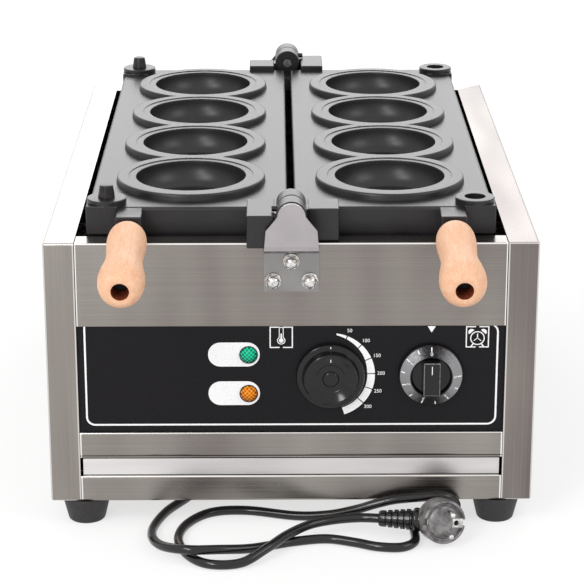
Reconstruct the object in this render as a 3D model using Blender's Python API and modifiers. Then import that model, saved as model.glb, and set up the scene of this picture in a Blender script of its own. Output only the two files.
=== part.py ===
"""Countertop burger press: a stainless box carrying two hinged cast moulds of four round cups each.

Run with: blender --background --python part.py
Metres, +Z up. X runs across the front, +Y to the rear, Z = 0 is the floor under the feet.
Y = 0 is halfway between the tips of the wooden grips and the rear hinge bracket.
"""
import math

import bmesh
import bpy
from mathutils import Matrix, Vector

for left_over in list(bpy.data.objects):
    bpy.data.objects.remove(left_over, do_unlink=True)

MM = 0.001
DEG = math.pi / 180

# Clearances shared by every piece
GAP = 0.3 * MM              # between pieces that touch
RUNNING_GAP = 0.4 * MM      # between pieces that turn or slide on each other
OVERRUN = 2 * MM            # how far a cutter runs past what it cuts
BITE = 3 * MM               # how far two shapes of one casting run into each other
MERGE = 0.01 * MM           # merge distance of the turned shapes

# Sheet-metal body
BODY_WIDTH = 430 * MM
BODY_LENGTH = 588 * MM
BODY_HEIGHT = 242 * MM
SHEET = 1.2 * MM
FOLD_RADIUS = 2 * MM
POST_WIDTH = 27 * MM        # front and top flanges of the side panels
FRONT_LEDGE = 22 * MM       # top flange of the front panel
REAR_LEDGE = 26 * MM        # top flange of the rear panel
RAIL_RETURN = 12 * MM       # turned-in edges of the front pieces

# Front face, heights from the body's bottom edge
LOWER_RAIL_TOP = 24.5 * MM
UPPER_RAIL_BOTTOM = 43.3 * MM
UPPER_RAIL_TOP = 66.2 * MM
FRONT_PANEL_BOTTOM = 168.4 * MM
CONTROL_SETBACK = 2 * MM    # control panel behind the front face
CONTROL_LAP = 17 * MM       # control panel behind each post
OVERLAY_THICKNESS = 0.8 * MM
OVERLAY_WIDTH = 372 * MM
OVERLAY_MARGIN = 2.5 * MM   # bare strip above the upper rail

# Feet
FOOT_HEIGHT = 24 * MM
FOOT_TOP_RADIUS = 19.5 * MM
FOOT_BOTTOM_RADIUS = 15.5 * MM
FOOT_ROUND = 2 * MM
FOOT_INSET_X = 30 * MM      # foot centre from the side of the body
FOOT_INSET_Y = 20 * MM      # foot centre from the front and rear of the body

# Moulds, heights below the mating plane where the two moulds meet when shut
HINGE_RISE = 30 * MM        # hinge axis and mating plane above the body's top
MATING_GAP = 0.2 * MM
MOULD_SPLIT = 6 * MM        # gap between the open moulds
MOULD_WIDTH = 174 * MM
MOULD_SETBACK = 28 * MM     # mould's ends from the body's front and rear faces
MOULD_WALL = 5 * MM
MOULD_EDGE_RADIUS = 3 * MM
BASE_DROP = 6 * MM          # plain surface between the rims
SKIRT_DEPTH = 36 * MM
CUP_COUNT = 4
CUP_PITCH = 120 * MM
CUP_RADIUS = 50 * MM
CUP_FLOOR_RADIUS = 36 * MM
CUP_DEPTH = 24 * MM
CUP_WALL = 4 * MM
CUP_CURVE_STEPS = 4
CUP_HOLE_RADIUS = 51.5 * MM # hole in the plate, inside the cup's wall
RIM_TOP_RADIUS = 59.4 * MM
RIM_FOOT_RADIUS = 59.8 * MM
RIM_BRIDGE_WIDTH = 36 * MM  # filled web between neighbouring rims
RIM_BRIDGE_LENGTH = 6 * MM
RIM_BRIDGE_DROP = 0.6 * MM
RIM_ROOT = 1 * MM           # rims run this far into the plate
RIM_STEP_RADIUS = 56 * MM
RIM_STEP = 0.8 * MM
CUP_SIDES = 20

# Corner bosses that centre one mould on the other
BOSS_RADIUS = 17.3 * MM
BOSS_INSET_X = 15.7 * MM    # boss centre from the mould's outer edge
BOSS_INSET_Y = 13.3 * MM    # boss centre from the mould's end
BOSS_DEPTH = 20 * MM
BLOCK_WIDTH = 27.5 * MM     # square block under each boss
BLOCK_LENGTH = 34 * MM
BLOCK_PROUD_X = 1.5 * MM
BLOCK_PROUD_Y = 4 * MM
BLOCK_DROP = 4 * MM         # block's top below the mating plane
BORE_RADIUS = 9 * MM
BORE_DEPTH = 16 * MM
PIN_RADIUS = 7 * MM
PIN_TIP_RADIUS = 6.2 * MM
PIN_RISE = 13 * MM
PIN_SHANK_DEPTH = 12 * MM
PIN_CHAMFER = 1.5 * MM

# Hinges
KNUCKLE_RADIUS = 13 * MM
KNUCKLE_LENGTH = 20 * MM
KNUCKLE_SPACE = 1.6 * MM    # room for the thrust washer
KNUCKLE_REACH = 20 * MM     # outer knuckle ahead of the body's front face
ARM_OUTER = 39 * MM         # arm's far side from the axis
ARM_INNER = 14.6 * MM       # arm's near side, clear of the other knuckle
ARM_DROP = 0.5 * MM         # arm's top below the mating plane
ARM_LAP = 8 * MM            # arm's end over the mould's plate
ARM_SETBACK = 3 * MM        # arm's end behind its knuckle's end, clear of the bracket's bend
WEB_INSET = 0.5 * MM        # web's faces inside the arm's and the knuckle's
PIVOT_RADIUS = 4.5 * MM
PIVOT_PROUD = 2.6 * MM      # pivot pin past the inner knuckle
WASHER_RADIUS = 11.5 * MM
BUSH_SCREW_RADIUS = 2.5 * MM
BUSH_SCREW_PROUD = 4 * MM
BUSH_SCREW_INSET = 4.5 * MM # screw from the knuckle's inner end
BUSH_SCREW_DEPTH = 4 * MM

# Hinge brackets on the front and rear of the body
BRACKET_WIDTH = 48 * MM
BRACKET_SHEET = 3 * MM
BRACKET_FOLD_RADIUS = 3.4 * MM
BRACKET_DROP = 43 * MM      # plate's lower end below the body's top
BRACKET_BEND_DROP = 5.5 * MM  # first bend below the body's top
BRACKET_UPPER_BEND = 1 * MM # second bend above the body's top
BRACKET_SHOULDER = 12 * MM  # shoulders below the hinge axis
BRACKET_SHOULDER_WIDTH = 44 * MM
BRACKET_HEAD_RADIUS = 12.1 * MM
BRACKET_SIDE_GAP = 1 * MM   # head to the outer knuckle
HEAD_STEPS = 12
NUT_HIGH_DROP = 15.4 * MM     # upper nut below the body's top
NUT_LOW_DROP = 33 * MM      # lower nuts below the body's top
NUT_SPREAD = 16 * MM
NUT_RADIUS = 6.2 * MM
NUT_DOME_RADIUS = 5 * MM
NUT_HEIGHT = 8 * MM
NUT_SKIRT = 2.5 * MM

# Handles
LUG_INNER = 129 * MM        # lug's near side from the hinge axis
LUG_WIDTH = 22.5 * MM
LUG_DROP = 6.6 * MM
HANDLE_X = 140.5 * MM       # rod from the hinge axis
HANDLE_DROP = 20.5 * MM     # rod below the mating plane, at the lug's face
HANDLE_TILT = 7 * DEG
ROD_RADIUS = 5 * MM
ROD_SOCKET = 18 * MM        # rod inside the lug
GRIP_START = 4 * MM         # grip's rear end from the lug
GRIP_LENGTH = 114 * MM
GRIP_RADIUS = 19.7 * MM
GRIP_BORE_RADIUS = 5.4 * MM
GRIP_MOUTH_RADIUS = 7.6 * MM
GRIP_MOUTH_DEPTH = 26 * MM
GRIP_SIDES = 18
# Outline of the wooden grip from its rear end to its front end: how far along, as a share of its
# length, and how thick, as a share of the front bulge's radius.
GRIP_OUTLINE_SHARES = (
    (0.00, 0.58), (0.03, 0.74), (0.09, 0.84), (0.19, 0.87), (0.32, 0.83), (0.47, 0.79),
    (0.60, 0.85), (0.72, 0.95), (0.83, 1.00), (0.92, 0.93), (0.975, 0.75), (1.00, 0.56),
)
GRIP_NUT_LENGTH = 8 * MM
GRIP_NUT_RADIUS = 7 * MM
HEX_SIDES = 6

# Drip tray and its runners, heights from the body's bottom edge
TRAY_WIDTH = 364 * MM
TRAY_BOTTOM = 25.5 * MM
TRAY_HEIGHT = 15 * MM
TRAY_SETBACK = 3 * MM
TRAY_LENGTH = 555 * MM
TRAY_LAP = 6 * MM           # ledge under the tray's edge
RUNNER_HEIGHT = 24 * MM
RUNNER_LENGTH = 558 * MM

# Heaters, heights from the body's bottom edge
HEATER_RADIUS = 4 * MM
HEATER_HEIGHT = 224.5 * MM
HEATER_RAIL_HEIGHT = 20 * MM
HEATER_RAIL_FRONT = 130 * MM   # rails from the body's front face
HEATER_RAIL_REAR = 460 * MM
HEATER_FIRST_LEG = 32 * MM     # innermost leg from the middle
HEATER_PITCH = 38 * MM         # between the legs
HEATER_LEGS = 4
HEATER_FRONT = 78 * MM         # front bends from the body's front face
HEATER_REAR = 530 * MM
HEATER_TERMINAL = 52 * MM      # terminals from the body's front face
HEATER_TERMINAL_DROP = 58 * MM
HEATER_HOLE_RADIUS = 6 * MM
HEATER_ARC_STEPS = 4

# Heat shield over and behind the controls
SHIELD_FRONT = 92 * MM         # upright part from the body's front face
SHIELD_BOTTOM = 46 * MM        # heights from the body's bottom edge
SHIELD_TOP = 180 * MM

# Controls, places on the front face: from the middle, and from the body's bottom edge
TIMER_X = 122.8 * MM
TIMER_Z = 121 * MM
THERMOSTAT_X = 34.5 * MM
THERMOSTAT_Z = 120 * MM
LAMP_X = -37.5 * MM
GREEN_LAMP_Z = 139.2 * MM
AMBER_LAMP_Z = 102.8 * MM
LAMP_RADIUS = 7.5 * MM
LAMP_BARREL_RADIUS = 6 * MM
LAMP_DOME = 5 * MM
LAMP_BARREL_LENGTH = 26 * MM
LAMP_NECK = 3.5 * MM
SHAFT_RADIUS = 3 * MM
SHAFT_HOLE_RADIUS = 5 * MM
SHAFT_LENGTH = 22 * MM
KNOB_LIFT = 1 * MM             # knob's back from the overlay
KNOB_SIDES = 28
KNOB_EDGE = 1 * MM             # bevels of both knobs
KNOB_SOCKET = 3 * MM           # shaft inside the knob

TIMER_KNOB_RADIUS = 28.5 * MM
TIMER_SKIRT_EDGE = 3 * MM
TIMER_SKIRT_HEIGHT = 9 * MM
TIMER_WELL_RADIUS = 17 * MM
TIMER_WELL_DEPTH = 5 * MM
TIMER_GRIP_WIDTH = 14.6 * MM
TIMER_GRIP_LENGTH = 29 * MM
TIMER_GRIP_HEIGHT = 17 * MM
TIMER_GRIP_ROUND = 1.2 * MM

THERMOSTAT_SKIRT_RADIUS = 30 * MM
THERMOSTAT_SKIRT_HEIGHT = 5 * MM
THERMOSTAT_KNOB_RADIUS = 23.5 * MM
THERMOSTAT_KNOB_HEIGHT = 19 * MM
THERMOSTAT_KNOB_TAPER = 1.6 * MM
THERMOSTAT_DISH_RADIUS = 17 * MM
THERMOSTAT_DISH_DEPTH = 1.5 * MM
THERMOSTAT_GRIP_WIDTH = 9 * MM

BLOCK_DEPTH = 38 * MM          # control bodies behind the panel
TIMER_BODY_SIZE = 48 * MM
THERMOSTAT_BODY_WIDTH = 44 * MM
THERMOSTAT_BODY_HEIGHT = 34 * MM
BODY_BUSH_RADIUS = 4.6 * MM
TERMINAL_WIDTH = 62 * MM
TERMINAL_HEIGHT = 22 * MM
TERMINAL_DEPTH = 17 * MM
TERMINAL_X = -118 * MM
TERMINAL_Z = 96 * MM
TERMINAL_WAYS = 4
TERMINAL_SLOT = 3 * MM

# Cord, gland and plug
CORD_RADIUS = 4.25 * MM
CORD_STEPS = 68
CORD_FINE_STEPS = 10
GLAND_X = -100 * MM
GLAND_Z = 62 * MM              # above the floor
GLAND_RADIUS = 9.5 * MM
GLAND_TIP_RADIUS = 5.6 * MM
GLAND_LENGTH = 32 * MM
GLAND_FLANGE_RADIUS = 13 * MM
GLAND_FLANGE = 4 * MM
GLAND_NECK_RADIUS = 7 * MM
GLAND_INNER_LENGTH = 12 * MM
GLAND_SIDES = 16
PLUG_X = 133 * MM              # centre of the pin face, from the middle and the front face
PLUG_Y = -50 * MM
PLUG_RADIUS = 19 * MM
PLUG_DEPTH = 28 * MM
PLUG_DOME = 9 * MM
PLUG_EDGE = 1 * MM
PLUG_BACK_SHARE = 0.8       # radius half way up the domed back, of the plug's own
PLUG_YAW = 6 * DEG
PLUG_PIN_RADIUS = 2.4 * MM
PLUG_PIN_LENGTH = 19 * MM
PLUG_PIN_SPREAD = 9.5 * MM
PLUG_NOTCH_WIDTH = 6 * MM
PLUG_NOTCH_DEPTH = 3 * MM
BOOT_RADIUS = 8.2 * MM
BOOT_TIP_RADIUS = 6 * MM
BOOT_LENGTH = 52 * MM          # from the plug's axis
BOOT_BACK = 16 * MM            # boot's axis behind the pin face
BOOT_YAW = 14 * DEG
BOOT_RIBS = 4
BOOT_RIB_DEPTH = 0.9 * MM

# Route of the cord, chosen by hand: across, from the body's front face, and above the floor. It
# leaves the gland, turns on the floor behind the body, runs forward under it, lies in two loops in
# front, passes below the plug's boot, turns back behind the plug and ends in the boot.
CORD_ROUTE = [Vector(point) * MM for point in (
    (-100, 620.8, 62), (-100, 634, 61.6), (-97, 658, 55), (-84, 683, 38), (-58, 700, 18),
    (-28, 696, 6.5), (-8, 672, 4.5), (0, 630, 4.5), (2, 560, 4.5), (-2, 470, 4.5), (-10, 380, 4.5),
    (-22, 290, 4.5), (-40, 200, 4.5), (-64, 120, 4.5), (-92, 58, 4.5), (-114, 18, 4.5),
    (-125, -22, 4.5), (-113, -60, 8.5), (-91, -78, 13.9), (-64, -74, 12), (-36, -62, 6.5),
    (0, -46, 4.5), (32, -38, 4.5), (60, -46, 4.5), (84, -60, 4.5), (102, -58, 4.5),
    (111, -42, 4.5), (113, -24, 4.5), (121, -7, 4.5), (136, 4, 4.7), (151, 4, 8), (160.5, -4, 15.5),
    (158, -12, 24), (143, -14, 28.6), (120, -12.5, 27), (92, -10, 20.5), (62, -6, 13.5),
    (28, 0, 8), (-8, 12, 4.8), (-44, 24, 4.5), (-74, 18, 4.5), (-93, -6, 4.5), (-100, -38, 4.5),
    (-91, -70, 4.5), (-72, -89, 4.5), (-44, -88, 5), (-22, -72, 11), (-4, -51, 14), (16, -28, 14.4),
    (40, -20.5, 16.8), (62, -20.9, 18.8), (81.2, -24.6, 19.3),
)]


def grip_reach():
    """How far the tilted grip's outline reaches ahead of the body's front face."""
    reaches = [
        (GRIP_START + along * GRIP_LENGTH) * math.cos(HANDLE_TILT)
        + thick * GRIP_RADIUS * math.sin(HANDLE_TILT)
        for along, thick in GRIP_OUTLINE_SHARES
    ]
    return max(reaches)


# Places worked out from the sizes
HEAD_BACK = KNUCKLE_REACH + BRACKET_SIDE_GAP
HEAD_REACH = HEAD_BACK + BRACKET_SHEET
FRONT_Y = (grip_reach() - BODY_LENGTH - HEAD_REACH) / 2
REAR_Y = FRONT_Y + BODY_LENGTH
MID_Y = (FRONT_Y + REAR_Y) / 2
HALF_WIDTH = BODY_WIDTH / 2
INNER_HALF = HALF_WIDTH - SHEET - GAP
FOLD_CLEAR = SHEET + FOLD_RADIUS     # keeps flat sheets out of the rounded folds
CLEAR_HALF = HALF_WIDTH - FOLD_CLEAR
FRONT_HALF = HALF_WIDTH - POST_WIDTH - GAP
BOTTOM_Z = FOOT_HEIGHT
TOP_Z = BOTTOM_Z + BODY_HEIGHT
AXIS_Z = TOP_Z + HINGE_RISE
MOULD_LENGTH = BODY_LENGTH - MOULD_SETBACK - MOULD_SETBACK
HALF_MOULD = MOULD_LENGTH / 2
MOULD_INNER = MOULD_SPLIT / 2
MOULD_OUTER = MOULD_INNER + MOULD_WIDTH
CUP_X = MOULD_INNER + MOULD_WIDTH / 2
LEDGE_DROP = HINGE_RISE - GAP
CONTROL_FRONT = FRONT_Y + CONTROL_SETBACK
OVERLAY_FRONT = CONTROL_FRONT - GAP - OVERLAY_THICKNESS
FACING_FRONT = (90 * DEG, 0, 0)     # turns a piece's own +Z to face the front

parts = bpy.data.collections.new("burger_press")
cutters = bpy.data.collections.new("burger_press_cutters")
for collection in (parts, cutters):
    bpy.context.scene.collection.children.link(collection)


def finish_of(name, colour, roughness, metallic=0.0):
    """A Principled material of one colour."""
    material = bpy.data.materials.new(name)
    material.use_nodes = True
    shader = material.node_tree.nodes["Principled BSDF"]
    shader.inputs["Base Color"].default_value = (*colour, 1)
    shader.inputs["Roughness"].default_value = roughness
    shader.inputs["Metallic"].default_value = metallic
    return material


STAINLESS = ((0.56, 0.54, 0.51), 0.32, 1.0)
BRIGHT_STEEL = ((0.66, 0.65, 0.64), 0.22, 1.0)
DARK_STEEL = ((0.20, 0.20, 0.21), 0.40, 1.0)
CASTING = ((0.055, 0.053, 0.056), 0.38, 0.3)
WOOD = ((0.86, 0.58, 0.38), 0.45)
RUBBER = ((0.022, 0.022, 0.023), 0.6)
BLACK_PLASTIC = ((0.03, 0.03, 0.032), 0.35)
GREY_PLASTIC = ((0.10, 0.10, 0.11), 0.45)
CREAM_PLASTIC = ((0.72, 0.68, 0.58), 0.5)
GREEN_LENS = ((0.0, 0.33, 0.19), 0.15)
AMBER_LENS = ((0.78, 0.25, 0.01), 0.15)


def place(name, mesh, finish=None, at=(0, 0, 0), turn=(0, 0, 0), parent=None):
    """Links a mesh as a named part, or as a hidden cutter where it has no finish."""
    item = bpy.data.objects.new(name, mesh)
    item.location = at
    item.rotation_euler = turn
    item.parent = parent
    if finish is None:
        cutters.objects.link(item)
        item.hide_render = True
        item.display_type = "WIRE"
    else:
        parts.objects.link(item)
        mesh.materials.append(finish_of(name, *finish))
    return item


def axis_empty(name, at, turn=(0, 0, 0)):
    """An empty on a joint's axis, which carries the pieces that move there."""
    empty = bpy.data.objects.new(name, None)
    empty.location = at
    empty.rotation_euler = turn
    parts.objects.link(empty)
    return empty


def to_mesh(shape, name):
    """Turns a bmesh into a mesh datablock."""
    mesh = bpy.data.meshes.new(name)
    shape.to_mesh(mesh)
    shape.free()
    return mesh


def block(name, low, high, finish=None, edge_radius=0, **where):
    """A box between two corners, with its edges rounded where a radius is given."""
    low, high = Vector(low), Vector(high)
    shape = bmesh.new()
    bmesh.ops.create_cube(shape, size=1)
    bmesh.ops.scale(shape, vec=high - low, verts=shape.verts)
    bmesh.ops.translate(shape, vec=(low + high) / 2, verts=shape.verts)
    item = place(name, to_mesh(shape, name), finish, **where)
    if edge_radius:
        round_edges(item, edge_radius)
    return item


def rod(name, radius, low, high, finish=None, sides=16, **where):
    """A cylinder along local Z between two heights."""
    shape = bmesh.new()
    bmesh.ops.create_cone(
        shape, cap_ends=True, segments=sides, radius1=radius, radius2=radius, depth=high - low
    )
    bmesh.ops.translate(shape, vec=(0, 0, (low + high) / 2), verts=shape.verts)
    item = place(name, to_mesh(shape, name), finish, **where)
    item.data.shade_smooth()
    item.data.set_sharp_from_angle(angle=40 * DEG)
    return item


def turned(name, outline, finish=None, sides=24, **where):
    """A closed outline of (radius, height) points, run down its outer side, spun about local Z."""
    shape = bmesh.new()
    points = [shape.verts.new((radius, 0, height)) for radius, height in outline]
    on_axis = outline[0][0] == 0 and outline[-1][0] == 0
    pairs = list(zip(points, points[1:]))
    if not on_axis:
        pairs.append((points[-1], points[0]))
    for pair in pairs:
        shape.edges.new(pair)
    item = place(name, to_mesh(shape, name), finish, **where)
    screw = item.modifiers.new("spin", "SCREW")
    screw.steps = sides
    screw.render_steps = sides
    screw.use_merge_vertices = True
    screw.merge_threshold = MERGE
    screw.use_smooth_shade = True
    return item


def round_edges(item, width, segments=2, angle=40 * DEG):
    """Rounds the sharp edges of a piece with a Bevel modifier."""
    bevel = item.modifiers.new("rounded_edges", "BEVEL")
    bevel.width = width
    bevel.segments = segments
    bevel.limit_method = "ANGLE"
    bevel.angle_limit = angle
    return bevel


def thicken(item, thickness, side=-1):
    """Gives an open surface its wall with Solidify; side -1 is behind its faces."""
    solid = item.modifiers.new("wall", "SOLIDIFY")
    solid.thickness = thickness
    solid.offset = side
    solid.use_even_offset = True
    return solid


def combine(item, tool, operation):
    """Joins or cuts a piece with a hidden tool, with the exact solver."""
    boolean = item.modifiers.new(tool.name, "BOOLEAN")
    boolean.operation = operation
    boolean.object = tool
    boolean.solver = "EXACT"


def cut(item, tool):
    """Takes the tool's shape out of a piece."""
    combine(item, tool, "DIFFERENCE")


def weld(item, tool):
    """Makes the tool's shape part of a piece."""
    combine(item, tool, "UNION")


def strip(name, section, low, high, finish=None, along="X", fold=FOLD_RADIUS, wall=SHEET, **where):
    """Folded sheet of constant section. The section's points are (Y, Z) for a strip along X and
    (X, Z) along Y. The wall goes to the right of the section's direction as seen in those axes."""
    shape = bmesh.new()
    if along == "X":
        points = [shape.verts.new((low, across, up)) for across, up in section]
        run = Vector((high - low, 0, 0))
    else:
        points = [shape.verts.new((across, low, up)) for across, up in section]
        run = Vector((0, high - low, 0))
    edges = [shape.edges.new(pair) for pair in zip(points, points[1:])]
    made = bmesh.ops.extrude_edge_only(shape, edges=edges)["geom"]
    bmesh.ops.translate(shape, vec=run, verts=[v for v in made if isinstance(v, bmesh.types.BMVert)])
    bmesh.ops.recalc_face_normals(shape, faces=shape.faces)
    shape.faces.ensure_lookup_table()
    across, up = (section[1][i] - section[0][i] for i in (0, 1))
    left = Vector((0, -up, across)) if along == "X" else Vector((-up, 0, across))
    first = min(shape.faces, key=lambda face: (face.calc_center_median() - points[0].co).length)
    if first.normal.dot(left) < 0:
        bmesh.ops.reverse_faces(shape, faces=shape.faces)
    item = place(name, to_mesh(shape, name), finish, **where)
    if fold:
        round_edges(item, fold)
    thicken(item, wall)
    return item


def box_shell(name, low, high, open_sides, finish=None, fold=FOLD_RADIUS, wall=SHEET, **where):
    """Folded box of sheet without the named sides. A side is an axis and a direction."""
    low, high = Vector(low), Vector(high)
    shape = bmesh.new()
    bmesh.ops.create_cube(shape, size=1)
    missing = [
        face for face in shape.faces
        if any(face.normal[axis] * direction > 0 and abs(face.normal[axis]) == max(map(abs, face.normal))
               for axis, direction in open_sides)
    ]
    bmesh.ops.delete(shape, geom=missing, context="FACES")
    bmesh.ops.scale(shape, vec=high - low, verts=shape.verts)
    bmesh.ops.translate(shape, vec=(low + high) / 2, verts=shape.verts)
    item = place(name, to_mesh(shape, name), finish, **where)
    if fold:
        round_edges(item, fold)
    thicken(item, wall)
    return item


def tube(name, points, radius, finish, at=(0, 0, 0), parent=None):
    """A round rod or cord through points, as a polyline curve with filled ends."""
    curve = bpy.data.curves.new(name, "CURVE")
    curve.dimensions = "3D"
    curve.bevel_depth = radius
    curve.bevel_resolution = 2
    curve.use_fill_caps = True
    spline = curve.splines.new("POLY")
    spline.points.add(len(points) - 1)
    for spot, point in zip(spline.points, points):
        spot.co = (*point, 1)
    curve.materials.append(finish_of(name, *finish))
    item = bpy.data.objects.new(name, curve)
    item.location = at
    item.parent = parent
    parts.objects.link(item)
    return item


def arc(centre, radius, start, end, steps):
    """Points in a plane along an arc, angles counter-clockwise from the first axis."""
    return [
        (centre[0] + radius * math.cos(start + (end - start) * i / steps),
         centre[1] + radius * math.sin(start + (end - start) * i / steps))
        for i in range(steps + 1)
    ]


def build_body():
    """Side, front and rear panels, the two rails, the base plate and the four feet."""
    for side, name in ((-1, "left"), (1, "right")):
        inner = side * (HALF_WIDTH - POST_WIDTH)
        outer = side * HALF_WIDTH
        panel = box_shell(
            f"{name}_side_panel", (min(inner, outer), FRONT_Y, BOTTOM_Z),
            (max(inner, outer), REAR_Y, TOP_Z), ((0, -side), (1, 1)), STAINLESS,
        )
        cut(panel, mitre_tool(f"{name}_panel_mitre", side, 1))
    rear = box_shell(
        "rear_panel", (-HALF_WIDTH, REAR_Y - REAR_LEDGE, BOTTOM_Z), (HALF_WIDTH, REAR_Y, TOP_Z),
        ((1, -1), (0, 1), (0, -1)), STAINLESS,
    )
    for side, name in ((-1, "left"), (1, "right")):
        cut(rear, mitre_tool(f"{name}_rear_mitre", side, -1))
    cut(rear, rod("gland_hole", GLAND_NECK_RADIUS + GAP, -SHEET - OVERRUN, OVERRUN, sides=GLAND_SIDES,
                  at=(GLAND_X, REAR_Y, GLAND_Z), turn=(-90 * DEG, 0, 0)))

    panel_bottom = BOTTOM_Z + FRONT_PANEL_BOTTOM
    strip(
        "front_panel",
        ((FRONT_Y + RAIL_RETURN, panel_bottom), (FRONT_Y, panel_bottom), (FRONT_Y, TOP_Z),
         (FRONT_Y + FRONT_LEDGE, TOP_Z)),
        -FRONT_HALF, FRONT_HALF, STAINLESS,
    )
    rails = (("lower_front_rail", 0, LOWER_RAIL_TOP), ("upper_front_rail", UPPER_RAIL_BOTTOM, UPPER_RAIL_TOP))
    for name, low, high in rails:
        strip(
            name,
            ((FRONT_Y + RAIL_RETURN, BOTTOM_Z + low), (FRONT_Y, BOTTOM_Z + low),
             (FRONT_Y, BOTTOM_Z + high), (FRONT_Y + RAIL_RETURN, BOTTOM_Z + high)),
            -FRONT_HALF, FRONT_HALF, STAINLESS,
        )
    inside = SHEET + GAP
    block(
        "base_plate", (-CLEAR_HALF, FRONT_Y + FOLD_CLEAR, BOTTOM_Z + inside),
        (CLEAR_HALF, REAR_Y - FOLD_CLEAR, BOTTOM_Z + inside + SHEET), STAINLESS,
    )
    foot_outline = (
        (0, FOOT_HEIGHT - GAP), (FOOT_TOP_RADIUS, FOOT_HEIGHT - GAP),
        (FOOT_BOTTOM_RADIUS, FOOT_ROUND), (FOOT_BOTTOM_RADIUS - FOOT_ROUND, 0), (0, 0),
    )
    foot_x = HALF_WIDTH - FOOT_INSET_X
    corners = (
        ("front_left_foot", -foot_x, FRONT_Y + FOOT_INSET_Y),
        ("front_right_foot", foot_x, FRONT_Y + FOOT_INSET_Y),
        ("rear_left_foot", -foot_x, REAR_Y - FOOT_INSET_Y),
        ("rear_right_foot", foot_x, REAR_Y - FOOT_INSET_Y),
    )
    for name, x, y in corners:
        turned(name, foot_outline, RUBBER, sides=20, at=(x, y, 0))


def mitre_tool(name, side, keeps_side_panel):
    """Cube with one face on the diagonal through a rear corner, to cut a mitre in the folded sheet.
    keeps_side_panel is 1 where it cuts the side panel and -1 where it cuts the rear panel."""
    size = POST_WIDTH * 4
    away = Vector((-side, 1, 0)).normalized() * keeps_side_panel
    centre = Vector((side * HALF_WIDTH, REAR_Y, BOTTOM_Z + BODY_HEIGHT / 2))
    spot = centre + away * (size - GAP) / 2
    half = Vector((size, size, BODY_HEIGHT + OVERRUN + OVERRUN)) / 2
    return block(name, -half, half, at=spot, turn=(0, 0, 45 * DEG))


def build_hinge_brackets():
    """Two folded brackets with round heads, each with its pivot pin, washer and three domed nuts."""
    for end, name in ((1, "front"), (-1, "rear")):
        face_y = FRONT_Y if end == 1 else REAR_Y
        holder = axis_empty(f"{name}_hinge_line", (0, face_y, AXIS_Z), (0, 0, 0 if end == 1 else 180 * DEG))
        bend = -HINGE_RISE - BRACKET_BEND_DROP
        upper_bend = -HINGE_RISE + BRACKET_UPPER_BEND
        top = BRACKET_HEAD_RADIUS + OVERRUN
        section = (
            (-GAP, -HINGE_RISE - BRACKET_DROP), (-GAP, bend), (-HEAD_BACK, upper_bend), (-HEAD_BACK, top),
        )
        half = BRACKET_WIDTH / 2
        bracket = strip(
            f"{name}_hinge_bracket", tuple(reversed(section)), -half - OVERRUN, half + OVERRUN, STAINLESS,
            fold=BRACKET_FOLD_RADIUS, wall=BRACKET_SHEET, parent=holder,
        )
        combine(bracket, bracket_outline(f"{name}_bracket_outline", holder), "INTERSECT")
        inner_end = KNUCKLE_LENGTH + KNUCKLE_SPACE
        rod(
            f"{name}_pivot_pin", PIVOT_RADIUS, -inner_end - PIVOT_PROUD, HEAD_BACK - GAP, BRIGHT_STEEL,
            turn=FACING_FRONT, parent=holder,
        )
        washer_half = KNUCKLE_SPACE / 2 - GAP
        bore = PIVOT_RADIUS + GAP
        washer = ((WASHER_RADIUS, washer_half), (WASHER_RADIUS, -washer_half), (bore, -washer_half),
                  (bore, washer_half))
        turned(
            f"{name}_hinge_washer", washer, BRIGHT_STEEL, sides=16, at=(0, KNUCKLE_SPACE / 2, 0),
            turn=FACING_FRONT, parent=holder,
        )
        nut = [(0, NUT_HEIGHT)]
        nut += [(NUT_DOME_RADIUS * math.sin(a), NUT_SKIRT + (NUT_HEIGHT - NUT_SKIRT) * math.cos(a))
                for a in (30 * DEG, 60 * DEG, 90 * DEG)]
        nut += [(NUT_RADIUS, NUT_SKIRT), (NUT_RADIUS, 0), (0, 0)]
        nut_face = -GAP - BRACKET_SHEET - GAP
        spots = (("upper", 0, NUT_HIGH_DROP), ("left", -NUT_SPREAD, NUT_LOW_DROP),
                 ("right", NUT_SPREAD, NUT_LOW_DROP))
        for spot, x, drop in spots:
            turned(
                f"{name}_{spot}_nut", nut, BRIGHT_STEEL, sides=12, at=(x, nut_face, -HINGE_RISE - drop),
                turn=FACING_FRONT, parent=holder,
            )


def bracket_outline(name, holder):
    """Front view of the bracket, as a thick block: straight sides, shoulders and a round head."""
    half, shoulder = BRACKET_WIDTH / 2, BRACKET_SHOULDER_WIDTH / 2
    bend = -HINGE_RISE - BRACKET_BEND_DROP
    bottom = -HINGE_RISE - BRACKET_DROP
    right = [(half, bottom), (half, bend), (shoulder, -BRACKET_SHOULDER)]
    head = arc((0, 0), BRACKET_HEAD_RADIUS, 0, 180 * DEG, HEAD_STEPS)
    left = [(-x, z) for x, z in reversed(right)]
    shape = bmesh.new()
    face = shape.faces.new([shape.verts.new((x, OVERRUN, z)) for x, z in right + head + left])
    made = bmesh.ops.extrude_face_region(shape, geom=[face])["geom"]
    reach = Vector((0, -HEAD_REACH - OVERRUN - OVERRUN, 0))
    bmesh.ops.translate(shape, vec=reach, verts=[v for v in made if isinstance(v, bmesh.types.BMVert)])
    bmesh.ops.recalc_face_normals(shape, faces=shape.faces)
    return place(name, to_mesh(shape, name), parent=holder)


def cup_curve(radius, floor_radius, top, bottom):
    """Quarter-ellipse wall of a cup, from its mouth down to its flat floor."""
    curve = []
    for i in range(CUP_CURVE_STEPS + 1):
        angle = 90 * DEG * i / CUP_CURVE_STEPS
        curve.append((
            floor_radius + (radius - floor_radius) * math.cos(angle),
            top + (bottom - top) * math.sin(angle),
        ))
    return curve


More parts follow.
